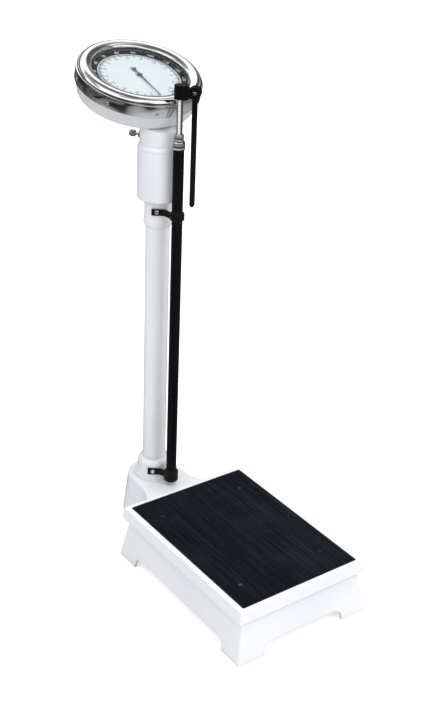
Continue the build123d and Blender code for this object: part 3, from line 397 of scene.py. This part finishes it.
bright_steel = bare_metal("bright_steel", (0.56, 0.57, 0.59, 1), (0.66, 0.67, 0.69, 1), gloss=0.22)
ground_steel = bare_metal("ground_steel", (0.44, 0.45, 0.47, 1), (0.58, 0.59, 0.61, 1),
                          along=(4.0, 60.0, 60.0))
spring_steel = bare_metal("spring_steel", (0.13, 0.13, 0.14, 1), (0.22, 0.22, 0.23, 1),
                          along=(20.0, 20.0, 20.0))
dress(raw_casting(), "long_lever", "short_lever", "load_posts")
dress(ground_steel, "long_lever_knives", "short_lever_knives", "fulcrum_bearings")
dress(bright_steel, "lever_shackle", "draw_rod", "draw_hook", "draw_fork", "spring_seat", "foot_bolts",
      "crank_pin", "pointer_shaft", "zero_screw")
dress(spring_steel, "main_spring")


# Platform mat: one sheet of near-black rubber, ribbed from front to back, cemented into the tray.
# Its ribs are round-topped, with dust in their grooves, painted sheen in streaks across them, and polished by
# feet in the middle.
rib_pitch = 0.004
rib_round = 5
rib_half = 0.31 * rib_pitch
rib_fullness = 0.6
rib_end = 0.0022
mat_sheet = 0.0019
pit_gap = 0.0004
pit_depth = 0.001
mat_black = (0.0012, 0.0016, 0.0024, 1)
# Pale tone for dust in the grooves and for painted sheen in streaks on the ribs.
mat_dust_and_sheen = (0.030, 0.036, 0.048, 1)


def smooth_up_to(mesh, angle=35):
    """Smooth shading, save at edges sharper than an angle."""
    mesh.shade_smooth()
    mesh.set_sharp_from_angle(angle=radians(angle))


def finished(shape, name, angle=35):
    """Closes the editing of a shape and gives its mesh, smooth up to its real edges."""
    bmesh.ops.recalc_face_normals(shape, faces=shape.faces)
    mesh = bpy.data.meshes.new(name)
    shape.to_mesh(mesh)
    shape.free()
    smooth_up_to(mesh, angle)
    return mesh


def made_piece(name, mesh, material, body, slot_name, *replaced):
    """Links a finished mesh as a piece, with its finish, its body and what it stands for."""
    piece = bpy.data.objects.new(name, mesh)
    bpy.context.scene.collection.objects.link(piece)
    mesh.materials.clear()
    mesh.materials.append(material)
    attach(piece, body)
    if replaced:
        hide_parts(*replaced)


def block(shape, place, size):
    """Adds a small box to a shape: width, depth and height about the middle of a place."""
    bmesh.ops.create_cube(shape, size=1.0, matrix=place @ Matrix.Diagonal((*size, 1)))


def lathe(profile, segments, place=Matrix.Identity(4), radius_at=None, shape=None):
    """Turns a closed profile of radius and height about Z. radius_at may change a radius with the angle."""
    shape = shape or bmesh.new()
    rings = []
    for i in range(segments):
        angle = 2 * pi * i / segments
        ring = []
        for k, (radius, height) in enumerate(profile):
            r = radius_at(k, radius, angle) if radius_at else radius
            ring.append(shape.verts.new(place @ Vector((r * cos(angle), r * sin(angle), height))))
        rings.append(ring)
    for ring, after in zip(rings, rings[1:] + rings[:1]):
        for k in range(len(profile)):
            nxt = (k + 1) % len(profile)
            if profile[k][0] > 0 or profile[nxt][0] > 0:
                shape.faces.new((ring[k], after[k], after[nxt], ring[nxt]))
    bmesh.ops.remove_doubles(shape, verts=[v for ring in rings for v in ring], dist=1e-7)
    return shape


def cut_from(mesh, cutter_mesh):
    """One closed mesh less another."""
    body = bpy.data.objects.new("body", mesh)
    cutter = bpy.data.objects.new("cutter", cutter_mesh)
    for part in (body, cutter):
        bpy.context.scene.collection.objects.link(part)
    cut = body.modifiers.new("cut", "BOOLEAN")
    cut.solver = "EXACT"
    cut.object = cutter
    result = bpy.data.meshes.new_from_object(body.evaluated_get(bpy.context.evaluated_depsgraph_get()))
    for part in (body, cutter):
        bpy.data.objects.remove(part)
    return result


def solids_of(name):
    """The corners of each separate solid of a CAD node."""
    shape = bmesh.new()
    shape.from_mesh(nodes[name].data)
    bmesh.ops.remove_doubles(shape, verts=shape.verts, dist=1e-6)
    found, seen = [], set()
    for start in shape.verts:
        if start in seen:
            continue
        seen.add(start)
        points, queue = [], [start]
        while queue:
            vertex = queue.pop()
            points.append(vertex.co.copy())
            for edge in vertex.link_edges:
                other = edge.other_vert(vertex)
                if other not in seen:
                    seen.add(other)
                    queue.append(other)
        found.append(points)
    shape.free()
    return found


def middle_of(points):
    """The middle of the box round some points."""
    return Vector([(min(p[i] for p in points) + max(p[i] for p in points)) / 2 for i in range(3)])


def rubber_finish(bottom, top):
    """Black rubber with pale dust down in its grooves, painted sheen in streaks across its ribs, and a faint
    shine where feet have rubbed it.
    """
    material, tree, output = new_material("ribbed_rubber")
    where = add(tree, "TexCoord").outputs["Object"]
    height = add(tree, "SeparateXYZ", {"Vector": where}).outputs["Z"]
    level = add(tree, "MapRange", {"Value": height, "From Min": bottom, "From Max": top})
    patch = noise(tree, where, 5.0, 6.0, Roughness=0.6)
    streak = noise(tree, times(tree, where, (260.0, 6.0, 1.0)), 1.0, 3.0)
    groove = add(tree, "Math", {0: 1.0, 1: level.outputs["Result"]}, operation="SUBTRACT")
    # Streaks across the ribs, times slow patches, lighten the rubber: this is painted sheen.
    sheen_streaks = add(tree, "Math", {0: patch, 1: streak}, operation="MULTIPLY")
    amount = add(tree, "Math", {0: groove.outputs[0], 1: 0.35, 2: sheen_streaks.outputs[0]}, operation="MULTIPLY_ADD")
    kept = add(tree, "MapRange", {"Value": amount.outputs[0], "From Min": 0.30, "From Max": 0.66})
    colour = blend_of(tree, kept.outputs["Result"], mat_black, mat_dust_and_sheen)
    grain = noise(tree, where, 900.0, 3.0)
    rough = add(tree, "MapRange", {"Value": patch, "To Min": 0.50, "To Max": 0.72})
    relief = add(tree, "Bump", {"Height": grain, "Strength": 0.25, "Distance": 0.0003})
    return surfaced(material, tree, output, {
        "Base Color": colour, "Roughness": rough.outputs["Result"], "Normal": relief.outputs["Normal"],
        "Specular IOR Level": 0.03})


def ribbed_mat(low, high):
    """A closed sheet whose top has round ribs that end just short of its edges."""
    count = int((high.x - low.x - rib_pitch) / rib_pitch)
    start = -(count - 1) * rib_pitch / 2
    top = low.z + mat_sheet
    rise = high.z - top
    outline = [(low.x, low.z), (low.x, top)]
    for i in range(count):
        centre = start + i * rib_pitch
        for k in range(rib_round + 1):
            turn = pi * k / rib_round
            outline.append((centre - rib_half * cos(turn), top + rise * sin(turn) ** rib_fullness))
    outline += [(high.x, top), (high.x, low.z)]
    shape = bmesh.new()
    rows = []
    for y in (low.y, low.y + rib_end, high.y - rib_end, high.y):
        flat = y in (low.y, high.y)
        rows.append([shape.verts.new((x, y, min(z, top) if flat else z)) for x, z in outline])
    for near, far in zip(rows, rows[1:]):
        for k in range(len(outline)):
            nxt = (k + 1) % len(outline)
            shape.faces.new((near[k], near[nxt], far[nxt], far[k]))
    shape.faces.new(rows[0])
    shape.faces.new(rows[-1])
    return finished(shape, "ribbed_mat", angle=40)


def platform_mat(stud_places):
    """The ribbed sheet with a round pit for each stud's head."""
    low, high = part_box("platform_mat")
    floor, above, radius = low.z + pit_depth, high.z + 0.002, stud_head + pit_gap
    pit = [(0, floor), (radius, floor), (radius, above), (0, above)]
    pits = bmesh.new()
    for place in stud_places:
        lathe(pit, 40, Matrix.Translation((place.x, place.y, 0)), shape=pits)
    mesh = cut_from(ribbed_mat(low, high), finished(pits, "pits"))
    smooth_up_to(mesh, angle=40)
    rubber = rubber_finish(low.z + mat_sheet, high.z)
    made_piece("ribbed_mat", mesh, rubber, "platform", "mat_rubber", "platform_mat")


# Mat studs: four round-headed screws that hold the mat and the tray to the load posts below.
# They are darkened steel, polished on their crowns, each sunk in a pocket of the rubber.
stud_head = 0.0055
stud_shank = 0.003
stud_crown = 0.0026
stud_slot = 0.0011
stud_slot_depth = 0.0009
stud_turn, stud_turn_step = 0.7, 1.9
head_rim = 0.0004
dome_steps = 7


def dome(radius, crown, shank, depth):
    """The closed profile of a round-headed screw, whose head sits on height 0."""
    profile = [(0, -depth), (shank, -depth), (shank, 0), (radius, 0), (radius, head_rim)]
    for k in range(1, dome_steps):
        turn = pi / 2 * k / dome_steps
        profile.append((radius * cos(turn), head_rim + (crown - head_rim) * sin(turn)))
    return profile + [(0, crown)]


def slotted_screw(name, profile, slot_width, slot_depth, crown, radius, segments=40):
    """One round-headed screw with a straight slot sawn across its head."""
    screw = finished(lathe(profile, segments), name)
    slot = bmesh.new()
    block(slot, Matrix.Translation((0, 0, crown)), (slot_width, 3 * radius, 2 * slot_depth))
    mesh = cut_from(screw, finished(slot, "slot"))
    smooth_up_to(mesh)
    return mesh


def repeated(name, mesh, places):
    """One mesh with a copy of another at every place."""
    shape = bmesh.new()
    for place in places:
        first = len(shape.verts)
        shape.from_mesh(mesh)
        shape.verts.ensure_lookup_table()
        bmesh.ops.transform(shape, matrix=place, verts=shape.verts[first:])
    return finished(shape, name)


stud_steel = bare_metal("stud_steel", (0.045, 0.045, 0.050, 1), (0.12, 0.12, 0.13, 1),
                        along=(30.0, 30.0, 30.0), gloss=0.24)
stud_places = [middle_of(points) for points in solids_of("mat_studs")]
stud_low, stud_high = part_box("mat_studs")
stud_base = stud_high.z - stud_crown
stud_profile = dome(stud_head, stud_crown, stud_shank, stud_base - stud_low.z)
stud_shape = slotted_screw("stud", stud_profile, stud_slot, stud_slot_depth, stud_crown, stud_head)
stud_set = repeated("stud_heads", stud_shape, [
    Matrix.Translation((place.x, place.y, stud_base))
    @ Matrix.Rotation(stud_turn + stud_turn_step * i, 4, "Z")
    for i, place in enumerate(stud_places)])
made_piece("stud_heads", stud_set, stud_steel, "platform", "bright_steel", "mat_studs")
platform_mat(stud_places)


# Dial case: a drawn steel pan under the bezel, sprayed light grey over its fine grain.
# The face below the glass is a white plate under a black ring, both printed with a plain scale.
case_grey = (0.70, 0.71, 0.72, 1)
case_grey_shade = (0.65, 0.66, 0.67, 1)
dial_axis = Vector(joints["pointer_turn"]["axis"]).normalized()
dial_middle = Vector(joints["pointer_turn"]["pos_m"])
dial_across = Vector((1, 0, 0))
dial_up = dial_axis.cross(dial_across)
dial = Matrix.Translation(dial_middle) @ Matrix((dial_across, dial_up, dial_axis)).transposed().to_4x4()
dial_radius = (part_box("dial_bezel")[1].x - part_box("dial_bezel")[0].x) / 2
ring_top = 0.0005
print_height = 0.00008
scale_top = 150
scale_step = 10
scale_fine = 0.5
number_radius = 0.0810
number_size = 0.0092
tick_outer = 0.0738
small_number_radius = 0.0605
small_number_size = 0.0062
fine_tick = (0.00055, 0.0034)
whole_tick = (0.00085, 0.0060)
five_tick = (0.0014, 0.0098)


def print_ink(name, colour, worn):
    """Screen-printed ink: dense, a little broken where it has worn."""
    material, tree, output = new_material(name)
    where = add(tree, "TexCoord").outputs["Object"]
    speck = noise(tree, where, 900.0, 3.0)
    thin = add(tree, "MapRange", {"Value": speck, "From Min": 0.50, "From Max": 0.75})
    tone = blend_of(tree, thin.outputs["Result"], colour, worn)
    relief = add(tree, "Bump", {"Height": speck, "Strength": 0.1, "Distance": 0.0001})
    return surfaced(material, tree, output, {
        "Base Color": tone, "Roughness": 0.48, "Normal": relief.outputs["Normal"]})


def round_the_dial(value):
    """The turn of a reading, clockwise from the side where the person stands."""
    return -2 * pi * value / (scale_top + scale_step)


def ticks(shape, values, tick):
    """Printed strokes of one width and length, from the edge of the face inwards."""
    width, length = tick
    for value in values:
        place = (dial @ Matrix.Rotation(round_the_dial(value), 4, "Z")
                 @ Matrix.Translation((0, -(tick_outer - length / 2), print_height / 2)))
        block(shape, place, (width, length, print_height))


def number_mesh(text, size):
    """A plain printed number, centred, as a thin closed solid."""
    curve = bpy.data.curves.new("number", "FONT")
    curve.body = text
    curve.size = size
    curve.align_x = "CENTER"
    curve.align_y = "CENTER"
    curve.extrude = print_height / 2
    curve.resolution_u = 3
    number = bpy.data.objects.new("number", curve)
    bpy.context.scene.collection.objects.link(number)
    mesh = bpy.data.meshes.new_from_object(number.evaluated_get(bpy.context.evaluated_depsgraph_get()))
    bpy.data.objects.remove(number)
    return mesh


def numbers(name, values, radius, size, height):
    """A ring of numbers, each with its head outwards."""
    shape = bmesh.new()
    for value in values:
        first = len(shape.verts)
        shape.from_mesh(number_mesh(str(value), size))
        shape.verts.ensure_lookup_table()
        place = (dial @ Matrix.Rotation(round_the_dial(value) + pi, 4, "Z")
                 @ Matrix.Translation((0, radius, height + print_height / 2)))
        bmesh.ops.transform(shape, matrix=place, verts=shape.verts[first:])
    return finished(shape, name)


def printed_scale():
    """Tens on the ring, fives on the face, and a stroke for each half, whole and five."""
    white_ink = print_ink("white_ink", (0.92, 0.93, 0.93, 1), (0.78, 0.79, 0.79, 1))
    blue_ink = print_ink("blue_ink", (0.05, 0.08, 0.11, 1), (0.14, 0.18, 0.22, 1))
    tens = range(0, scale_top + 1, scale_step)
    fives = range(scale_step // 2, scale_top, scale_step)
    ring = numbers("ring_numbers", tens, number_radius, number_size, ring_top)
    made_piece("ring_numbers", ring, white_ink, "stand", "dial_white")
    small = numbers("face_numbers", fives, small_number_radius, small_number_size, 0)
    made_piece("face_numbers", small, blue_ink, "stand", "dial_black")
    shape = bmesh.new()
    fine = [i * scale_fine for i in range(int(scale_top / scale_fine) + 1)]
    ticks(shape, [v for v in fine if v % 1], fine_tick)
    ticks(shape, [v for v in fine if v % 1 == 0 and v % 5], whole_tick)
    ticks(shape, [v for v in fine if v % 5 == 0], five_tick)
    made_piece("face_ticks", finished(shape, "face_ticks"), blue_ink, "stand", "dial_black")


def glass_pane():
    """Clear glass that lets the lamps reach the dial, with a faint dust film."""
    material, tree, output = new_material("pane")
    seen = add(tree, "LightPath")
    clear = add(tree, "BsdfTransparent", {"Color": (0.97, 0.98, 0.98, 1)})
    where = add(tree, "TexCoord").outputs["Object"]
    smear = noise(tree, where, 24.0, 5.0, Distortion=0.6)
    rough = add(tree, "MapRange", {
        "Value": smear, "From Min": 0.4, "From Max": 0.8, "To Min": 0.0, "To Max": 0.06})
    pane = add(tree, "BsdfPrincipled", {
        "Base Color": (0.96, 0.98, 0.98, 1), "Roughness": rough.outputs["Result"], "IOR": 1.06,
        "Transmission Weight": 1.0})
    through = add(tree, "Math", {0: seen.outputs["Is Shadow Ray"], 1: seen.outputs["Is Diffuse Ray"]},
                  operation="MAXIMUM")
    shown = mixed_shader(tree, through.outputs[0], pane, clear)
    tree.links.new(shown.outputs[0], output.inputs["Surface"])
    return material


case_skin = painted("case_grey", case_grey, case_grey_shade, 0.34, peel=520.0, bump=0.16, coat=0.1)
face_white = painted("face_white", (0.79, 0.83, 0.85, 1), (0.75, 0.80, 0.83, 1), 0.42,
                     bump=0.01, shade_and_dirt=0.2, coat=0.0)
ring_black = painted("ring_black", (0.003, 0.004, 0.006, 1), (0.006, 0.008, 0.010, 1), 0.50,
                     bump=0.02, shade_and_dirt=0.1, coat=0.0, shine=0.04)
gasket_black = painted("gasket_black", (0.03, 0.03, 0.032, 1), (0.05, 0.05, 0.052, 1), 0.6,
                       bump=0.1, shade_and_dirt=0.3, coat=0.0)
dress(case_skin, "dial_case")
dress(face_white, "dial_face")
dress(ring_black, "numeral_ring")
dress(gasket_black, "glass_gasket")
dress(glass_pane(), "dial_glass")
printed_scale()


# Bezel: one spun brass ring, chromium plated, with a straight band and a roll over the dial's edge.
# Eight round-headed screws go through its band into the case.
band_bottom = -0.0174
band_top = 0.0045
band_ease = 0.0006
roll_step = 0.0020
roll_radius = 0.101
roll_height = 0.015
lip_radius = 0.0864
lip_height = 0.0084
bezel_sheet = 0.0012
roll_steps = 14
bezel_turns = 224
bezel_screw = 0.0015
bezel_crown = 0.0016
bezel_screw_depth = 0.0035
bezel_screw_slot = 0.0007
screw_turn, screw_turn_step = 0.4, 1.7


def chrome_plate(name, colour, gloss):
    """Plated metal: mirror-like, with slow waves, finger smudges, fine wipe lines and painted shade in its
    corners.
    """
    material, tree, output = new_material(name)
    where = add(tree, "TexCoord").outputs["Object"]
    smear = noise(tree, where, 19.0, 6.0, Roughness=0.62, Distortion=0.8)
    smudge = add(tree, "MapRange", {"Value": smear, "From Min": 0.45, "From Max": 0.75}).outputs["Result"]
    rough = add(tree, "Math", {0: smudge, 1: 0.10, 2: gloss}, operation="MULTIPLY_ADD")
    dented = noise(tree, where, 26.0, 1.0)
    fine = noise(tree, where, 700.0, 2.0)
    height = add(tree, "Math", {0: fine, 1: 0.02, 2: dented}, operation="MULTIPLY_ADD")
    relief = add(tree, "Bump", {"Height": height.outputs[0], "Strength": 0.012, "Distance": 0.004})
    smudged = tuple(0.93 * c for c in colour[:3]) + (1,)
    tone = blend_of(tree, smudge, colour, smudged)
    soiled_and_shaded = placed(tree, corner_shade_and_grime, Colour=tone, Grime=(0.12, 0.11, 0.10, 1), Amount=0.5, Reach=0.003)
    return surfaced(material, tree, output, {
        "Base Color": soiled_and_shaded.outputs["Color"], "Metallic": 1.0, "Roughness": rough.outputs[0],
        "Normal": relief.outputs["Normal"]})


def bezel_side(sheet):
    """One side of the bezel's section: band, a step in, a roll over the top and down to the lip."""
    outer = dial_radius - sheet
    shoulder = band_top - sheet
    inner = outer - roll_step
    ease = band_ease * (1 if sheet == 0 else 0.2)
    crest = roll_height - sheet
    lip = lip_radius + sheet
    points = [(outer, band_bottom), (outer, shoulder - ease), (outer - 0.3 * ease, shoulder - 0.3 * ease),
              (outer - ease, shoulder), (inner, shoulder)]
    turns = [pi / 2 * k / roll_steps for k in range(1, roll_steps + 1)]
    points += [(roll_radius + (inner - roll_radius) * cos(turn), shoulder + (crest - shoulder) * sin(turn))
               for turn in turns]
    points += [(roll_radius - (roll_radius - lip) * sin(turn), lip_height + (crest - lip_height) * cos(turn))
               for turn in turns]
    return points


def screw_places(name, point, axis, crown):
    """Where a node's screws sit: each points out from a line, with its crown as far out as in the node."""
    places = []
    for points in solids_of(name):
        middle = middle_of(points) - point
        along = middle.dot(axis) * axis
        out = (middle - along).normalized()
        reach = max((p - point).dot(out) for p in points) - crown
        turn = out.to_track_quat("Z", "Y").to_matrix().to_4x4()
        places.append(Matrix.Translation(point + along + reach * out) @ turn
                      @ Matrix.Rotation(screw_turn + screw_turn_step * len(places), 4, "Z"))
    return places


bezel_chrome = chrome_plate("bezel_chrome", (0.80, 0.81, 0.82, 1), 0.07)
screw_chrome = chrome_plate("screw_chrome", (0.74, 0.75, 0.76, 1), 0.12)
bezel_section = bezel_side(0) + bezel_side(bezel_sheet)[::-1]
bezel = finished(lathe(bezel_section, bezel_turns, dial), "rolled_bezel", angle=40)
made_piece("rolled_bezel", bezel, bezel_chrome, "stand", "bezel_chrome", "dial_bezel")
small_profile = dome(2 * bezel_screw, bezel_crown, bezel_screw, bezel_screw_depth)
small_screw = slotted_screw("small_screw", small_profile, bezel_screw_slot, bezel_screw_slot,
                            bezel_crown, 2 * bezel_screw, segments=28)
bezel_places = screw_places("bezel_screws", dial_middle, dial_axis, bezel_crown)
bezel_set = repeated("bezel_screw_heads", small_screw, bezel_places)
made_piece("bezel_screw_heads", bezel_set, screw_chrome, "stand", "screw_chrome", "bezel_screws")


# Movement and pointer: brass plates, pillars, crank, rack and pinion under the face.
# The pointer is a thin black needle, with a weight on its tail and a small domed hub.
cap_shoulder = 0.45
cap_flat = 0.25
cap_steps = 6
cap_mark_radius = 0.12
cap_mark_depth = 0.0002
brass = bare_metal("movement_brass", (0.62, 0.45, 0.20, 1), (0.70, 0.54, 0.28, 1),
                   along=(6.0, 60.0, 30.0), gloss=0.26)
pointer_paint = painted("pointer_black", (0.030, 0.032, 0.036, 1), (0.05, 0.052, 0.056, 1), 0.30, shade_and_dirt=0.1)
dress(brass, "movement_plate", "movement_bridge", "movement_pillars", "shaft_bushes", "rack_guide",
      "bell_crank", "rack", "pinion", "face_posts")
dress(pointer_paint, "pointer")


def pointer_cap():
    """The turned cap over the pointer's boss, with a rounded shoulder and a centre mark."""
    points = solids_of("pointer_hub")[0]
    heights = [(p - dial_middle).dot(dial_axis) for p in points]
    radius = max(((p - dial_middle).cross(dial_axis)).length for p in points)
    base, top = min(heights), max(heights)
    shoulder = base + cap_shoulder * (top - base)
    profile = [(0, base), (radius, base), (radius, shoulder)]
    for k in range(1, cap_steps + 1):
        turn = pi / 2 * k / cap_steps
        profile.append((radius * (cap_flat + (1 - cap_flat) * cos(turn)),
                        shoulder + (top - shoulder) * sin(turn)))
    profile += [(cap_mark_radius * radius, top), (0, top - cap_mark_depth)]
    cap = finished(lathe(profile, 40, dial), "pointer_cap", angle=40)
    made_piece("pointer_cap", cap, pointer_paint, "pointer_arbor", "pointer_black", "pointer_hub")


pointer_cap()


# Zero adjuster: a knurled knob on a short screw, in a bush on the neck's left side.
# Both ferrules of the height rod have the same straight knurl, cut by the same wheel.
knurl_pitch = 0.0011
knurl_depth = 0.00030
knurl_sharpness = 0.8
knurl_facets = 6
knob_edge = 0.0009
knob_face = 0.45
knob_dish = 0.38
knob_dish_depth = 0.0006


def knurled(name, profile, gripped, place=Matrix.Identity(4)):
    """A turned piece with straight knurling on the stated points of its profile."""
    radius = max(profile[k][0] for k in gripped)
    ridges = round(2 * pi * radius / knurl_pitch)

    def cut(k, r, angle):
        if k not in gripped:
            return r
        return r - knurl_depth * (0.5 - 0.5 * cos(ridges * angle)) ** knurl_sharpness

    return finished(lathe(profile, ridges * knurl_facets, place, cut), name, angle=50)


def zero_knob():
    """The knob: its centre and reach come from the CAD node, along the joint's own axis."""
    axis = Vector(joints["zero_turn"]["axis"]).normalized()
    point = Vector(joints["zero_turn"]["pos_m"])
    corners = solids_of("zero_knob")[0]
    along = [(p - point).dot(axis) for p in corners]
    radius = max((p - point - (p - point).dot(axis) * axis).length for p in corners)
    near, far = min(along), max(along)
    place = Matrix.Translation(point) @ axis.to_track_quat("Z", "Y").to_matrix().to_4x4()
    profile = [(0, near), (radius - knob_edge, near), (radius, near + knob_edge),
               (radius, near + 1.2 * knob_edge), (radius, far - 1.2 * knob_edge), (radius, far - knob_edge),
               (radius - knob_edge, far), (knob_face * radius, far),
               (knob_dish * radius, far - knob_dish_depth), (0, far - knob_dish_depth)]
    return knurled("zero_grip", profile, (3, 4), place)


knob_steel = bare_metal("knob_steel", (0.30, 0.30, 0.32, 1), (0.46, 0.46, 0.48, 1),
                        along=(30.0, 30.0, 30.0), gloss=0.28)
dress(knob_steel, "zero_bush")
made_piece("zero_grip", zero_knob(), knob_steel, "zero", "bright_steel", "zero_knob")


# Height rod: a black lacquered outer tube in a moulded end cap and a clamp, both strapped to the column.
# Two bright ferrules carry the plain middle tube and the silver inner rod.
# A thin white strip with printed divisions lies in the flat of the inner rod.
ferrule_edge = 0.0004
ferrule_dip = 0.0003
lower_band, lower_chamfer, lower_nose = 0.0012, 0.0025, 0.0022
upper_band, upper_chamfer, upper_nose = 0.0010, 0.0014, 0.0014
middle_play = 0.00005
inner_bore = 0.00605
strip_width = 0.0042
strip_sheet = 0.0002
strip_start = 0.020
flat_depth = 0.0005
division_step = 0.005
division_line = 0.0005
division_reach = {"tenth": 0.95, "whole": 0.6, "half": 0.35}
rod_crown = 0.0020
rod_screw_head = 0.0042
rod_screw = 0.0026
rod_screw_depth = 0.0065
rod_screw_slot = (0.0010, 0.0009)
column_centre = Vector((0, (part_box("column_tube")[0].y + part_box("column_tube")[1].y) / 2, 0))


def upright_place(name):
    """The upright axis of a node that is round about it, with its lowest and highest level and its radius."""
    low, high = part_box(name)
    centre = (low + high) / 2
    return Matrix.Translation((centre.x, centre.y, 0)), low.z, high.z, (high.x - low.x) / 2


def ferrule(name, node, carrier, bore, band, chamfer, nose):
    """A turned ferrule, bored to seat on a tube's top, plain at both ends and knurled between."""
    place, low, high, radius = upright_place(node)
    seat_level, seat_radius = upright_place(carrier)[2:]
    collar = high - chamfer - band
    grip = radius - ferrule_dip
    profile = [(seat_radius, low), (radius - ferrule_edge, low), (radius, low + ferrule_edge),
               (radius, low + band), (grip, low + band + ferrule_edge), (grip, collar - ferrule_edge),
               (radius, collar), (radius, high - chamfer), (radius - nose, high), (bore, high),
               (bore, seat_level), (seat_radius, seat_level)]
    return knurled(name, profile, (4, 5), place)


def rod_face():
    """The white strip in the inner rod's flat, and the black divisions printed on it."""
    place, low, _, radius = upright_place("inner_rod")
    out = middle_of(solids_of("bracket_screws")[0]) - column_centre
    out.z = 0
    place = place @ Matrix.Rotation(out.to_2d().angle_signed(Vector((0, -1))), 4, "Z")
    bottom, top = low + strip_start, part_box("head_block")[0].z
    flat = radius - flat_depth
    strip = bmesh.new()
    middle = Matrix.Translation((0, -(flat + strip_sheet / 2), (bottom + top) / 2))
    block(strip, place @ middle, (strip_width, strip_sheet, top - bottom))
    divisions = bmesh.new()
    for i in range(1, int((top - bottom) / division_step)):
        kind = "tenth" if i % 10 == 0 else "whole" if i % 2 == 0 else "half"
        width = strip_width * division_reach[kind]
        line = Matrix.Translation(((strip_width - width) / 2, -(flat + strip_sheet + print_height / 2),
                                   top - i * division_step))
        block(divisions, place @ line, (width, print_height, division_line))
    return finished(strip, "rod_strip"), finished(divisions, "rod_divisions")


rod_lacquer = painted("rod_black", (0.003, 0.003, 0.0035, 1), (0.007, 0.007, 0.008, 1), 0.20,
                      peel=520.0, bump=0.05, shade_and_dirt=0.10, dulling=0.16, coat=0.0, shine=0.07)
moulded_black = painted("moulded_black", (0.004, 0.004, 0.0045, 1), (0.009, 0.009, 0.010, 1), 0.34,
                        peel=800.0, bump=0.12, shade_and_dirt=0.10, dulling=0.14, coat=0.0, shine=0.08)
nylon = painted("guide_nylon", (0.72, 0.70, 0.64, 1), (0.66, 0.64, 0.58, 1), 0.45,
                bump=0.05, shade_and_dirt=0.3, coat=0.0)
rod_silver = bare_metal("rod_silver", (0.70, 0.72, 0.75, 1), (0.80, 0.81, 0.83, 1), along=(60.0, 60.0, 2.0))
# The ferrules' full corner darkening is painted shade in the knurl grooves.
ferrule_steel = bare_metal("ferrule_steel", (0.42, 0.43, 0.45, 1), (0.66, 0.67, 0.69, 1),
                           along=(30.0, 30.0, 30.0), gloss=0.10, shade_and_dirt=1.0)
dress(rod_lacquer, "outer_rod")
dress(moulded_black, "rod_end_cap", "rod_clamp")
dress(nylon, "middle_bush", "inner_bush")
dress(rod_silver, "middle_tube", "inner_rod")
middle_bore = upright_place("middle_tube")[3] + middle_play
clamp_ferrule = ferrule("clamp_ferrule", "lower_ferrule", "outer_rod", middle_bore,
                        lower_band, lower_chamfer, lower_nose)
made_piece("clamp_ferrule", clamp_ferrule, ferrule_steel, "stand", "ferrule_chrome", "lower_ferrule")
stop_ferrule = ferrule("stop_ferrule", "upper_ferrule", "middle_tube", inner_bore,
                       upper_band, upper_chamfer, upper_nose)
made_piece("stop_ferrule", stop_ferrule, ferrule_steel, "middle", "ferrule_chrome", "upper_ferrule")
strip, divisions = rod_face()
strip_white = painted("strip_white", (0.84, 0.86, 0.88, 1), (0.78, 0.80, 0.82, 1), 0.34, bump=0.02, shade_and_dirt=0.1)
black_ink = print_ink("black_ink", (0.02, 0.02, 0.02, 1), (0.10, 0.10, 0.10, 1))
made_piece("rod_strip", strip, strip_white, "inner", "rod_silver")
made_piece("rod_divisions", divisions, black_ink, "inner", "dial_black")
strap_profile = dome(rod_screw_head, rod_crown, rod_screw, rod_screw_depth)
strap_screw = slotted_screw("strap_screw", strap_profile, *rod_screw_slot, rod_crown, rod_screw_head)
strap_places = screw_places("bracket_screws", column_centre, Vector((0, 0, 1)), rod_crown)
strap_set = repeated("strap_screw_heads", strap_screw, strap_places)
made_piece("strap_screw_heads", strap_set, screw_chrome, "stand", "screw_chrome", "bracket_screws")


# Headpiece: a moulded black block on the rod's top, with a long flat arm that hangs beside the rod.
# The arm folds up on one polished pin, and both mouldings have slightly rounded edges.
dress(moulded_black, "head_block", "head_arm")
dress(screw_chrome, "arm_pivot")
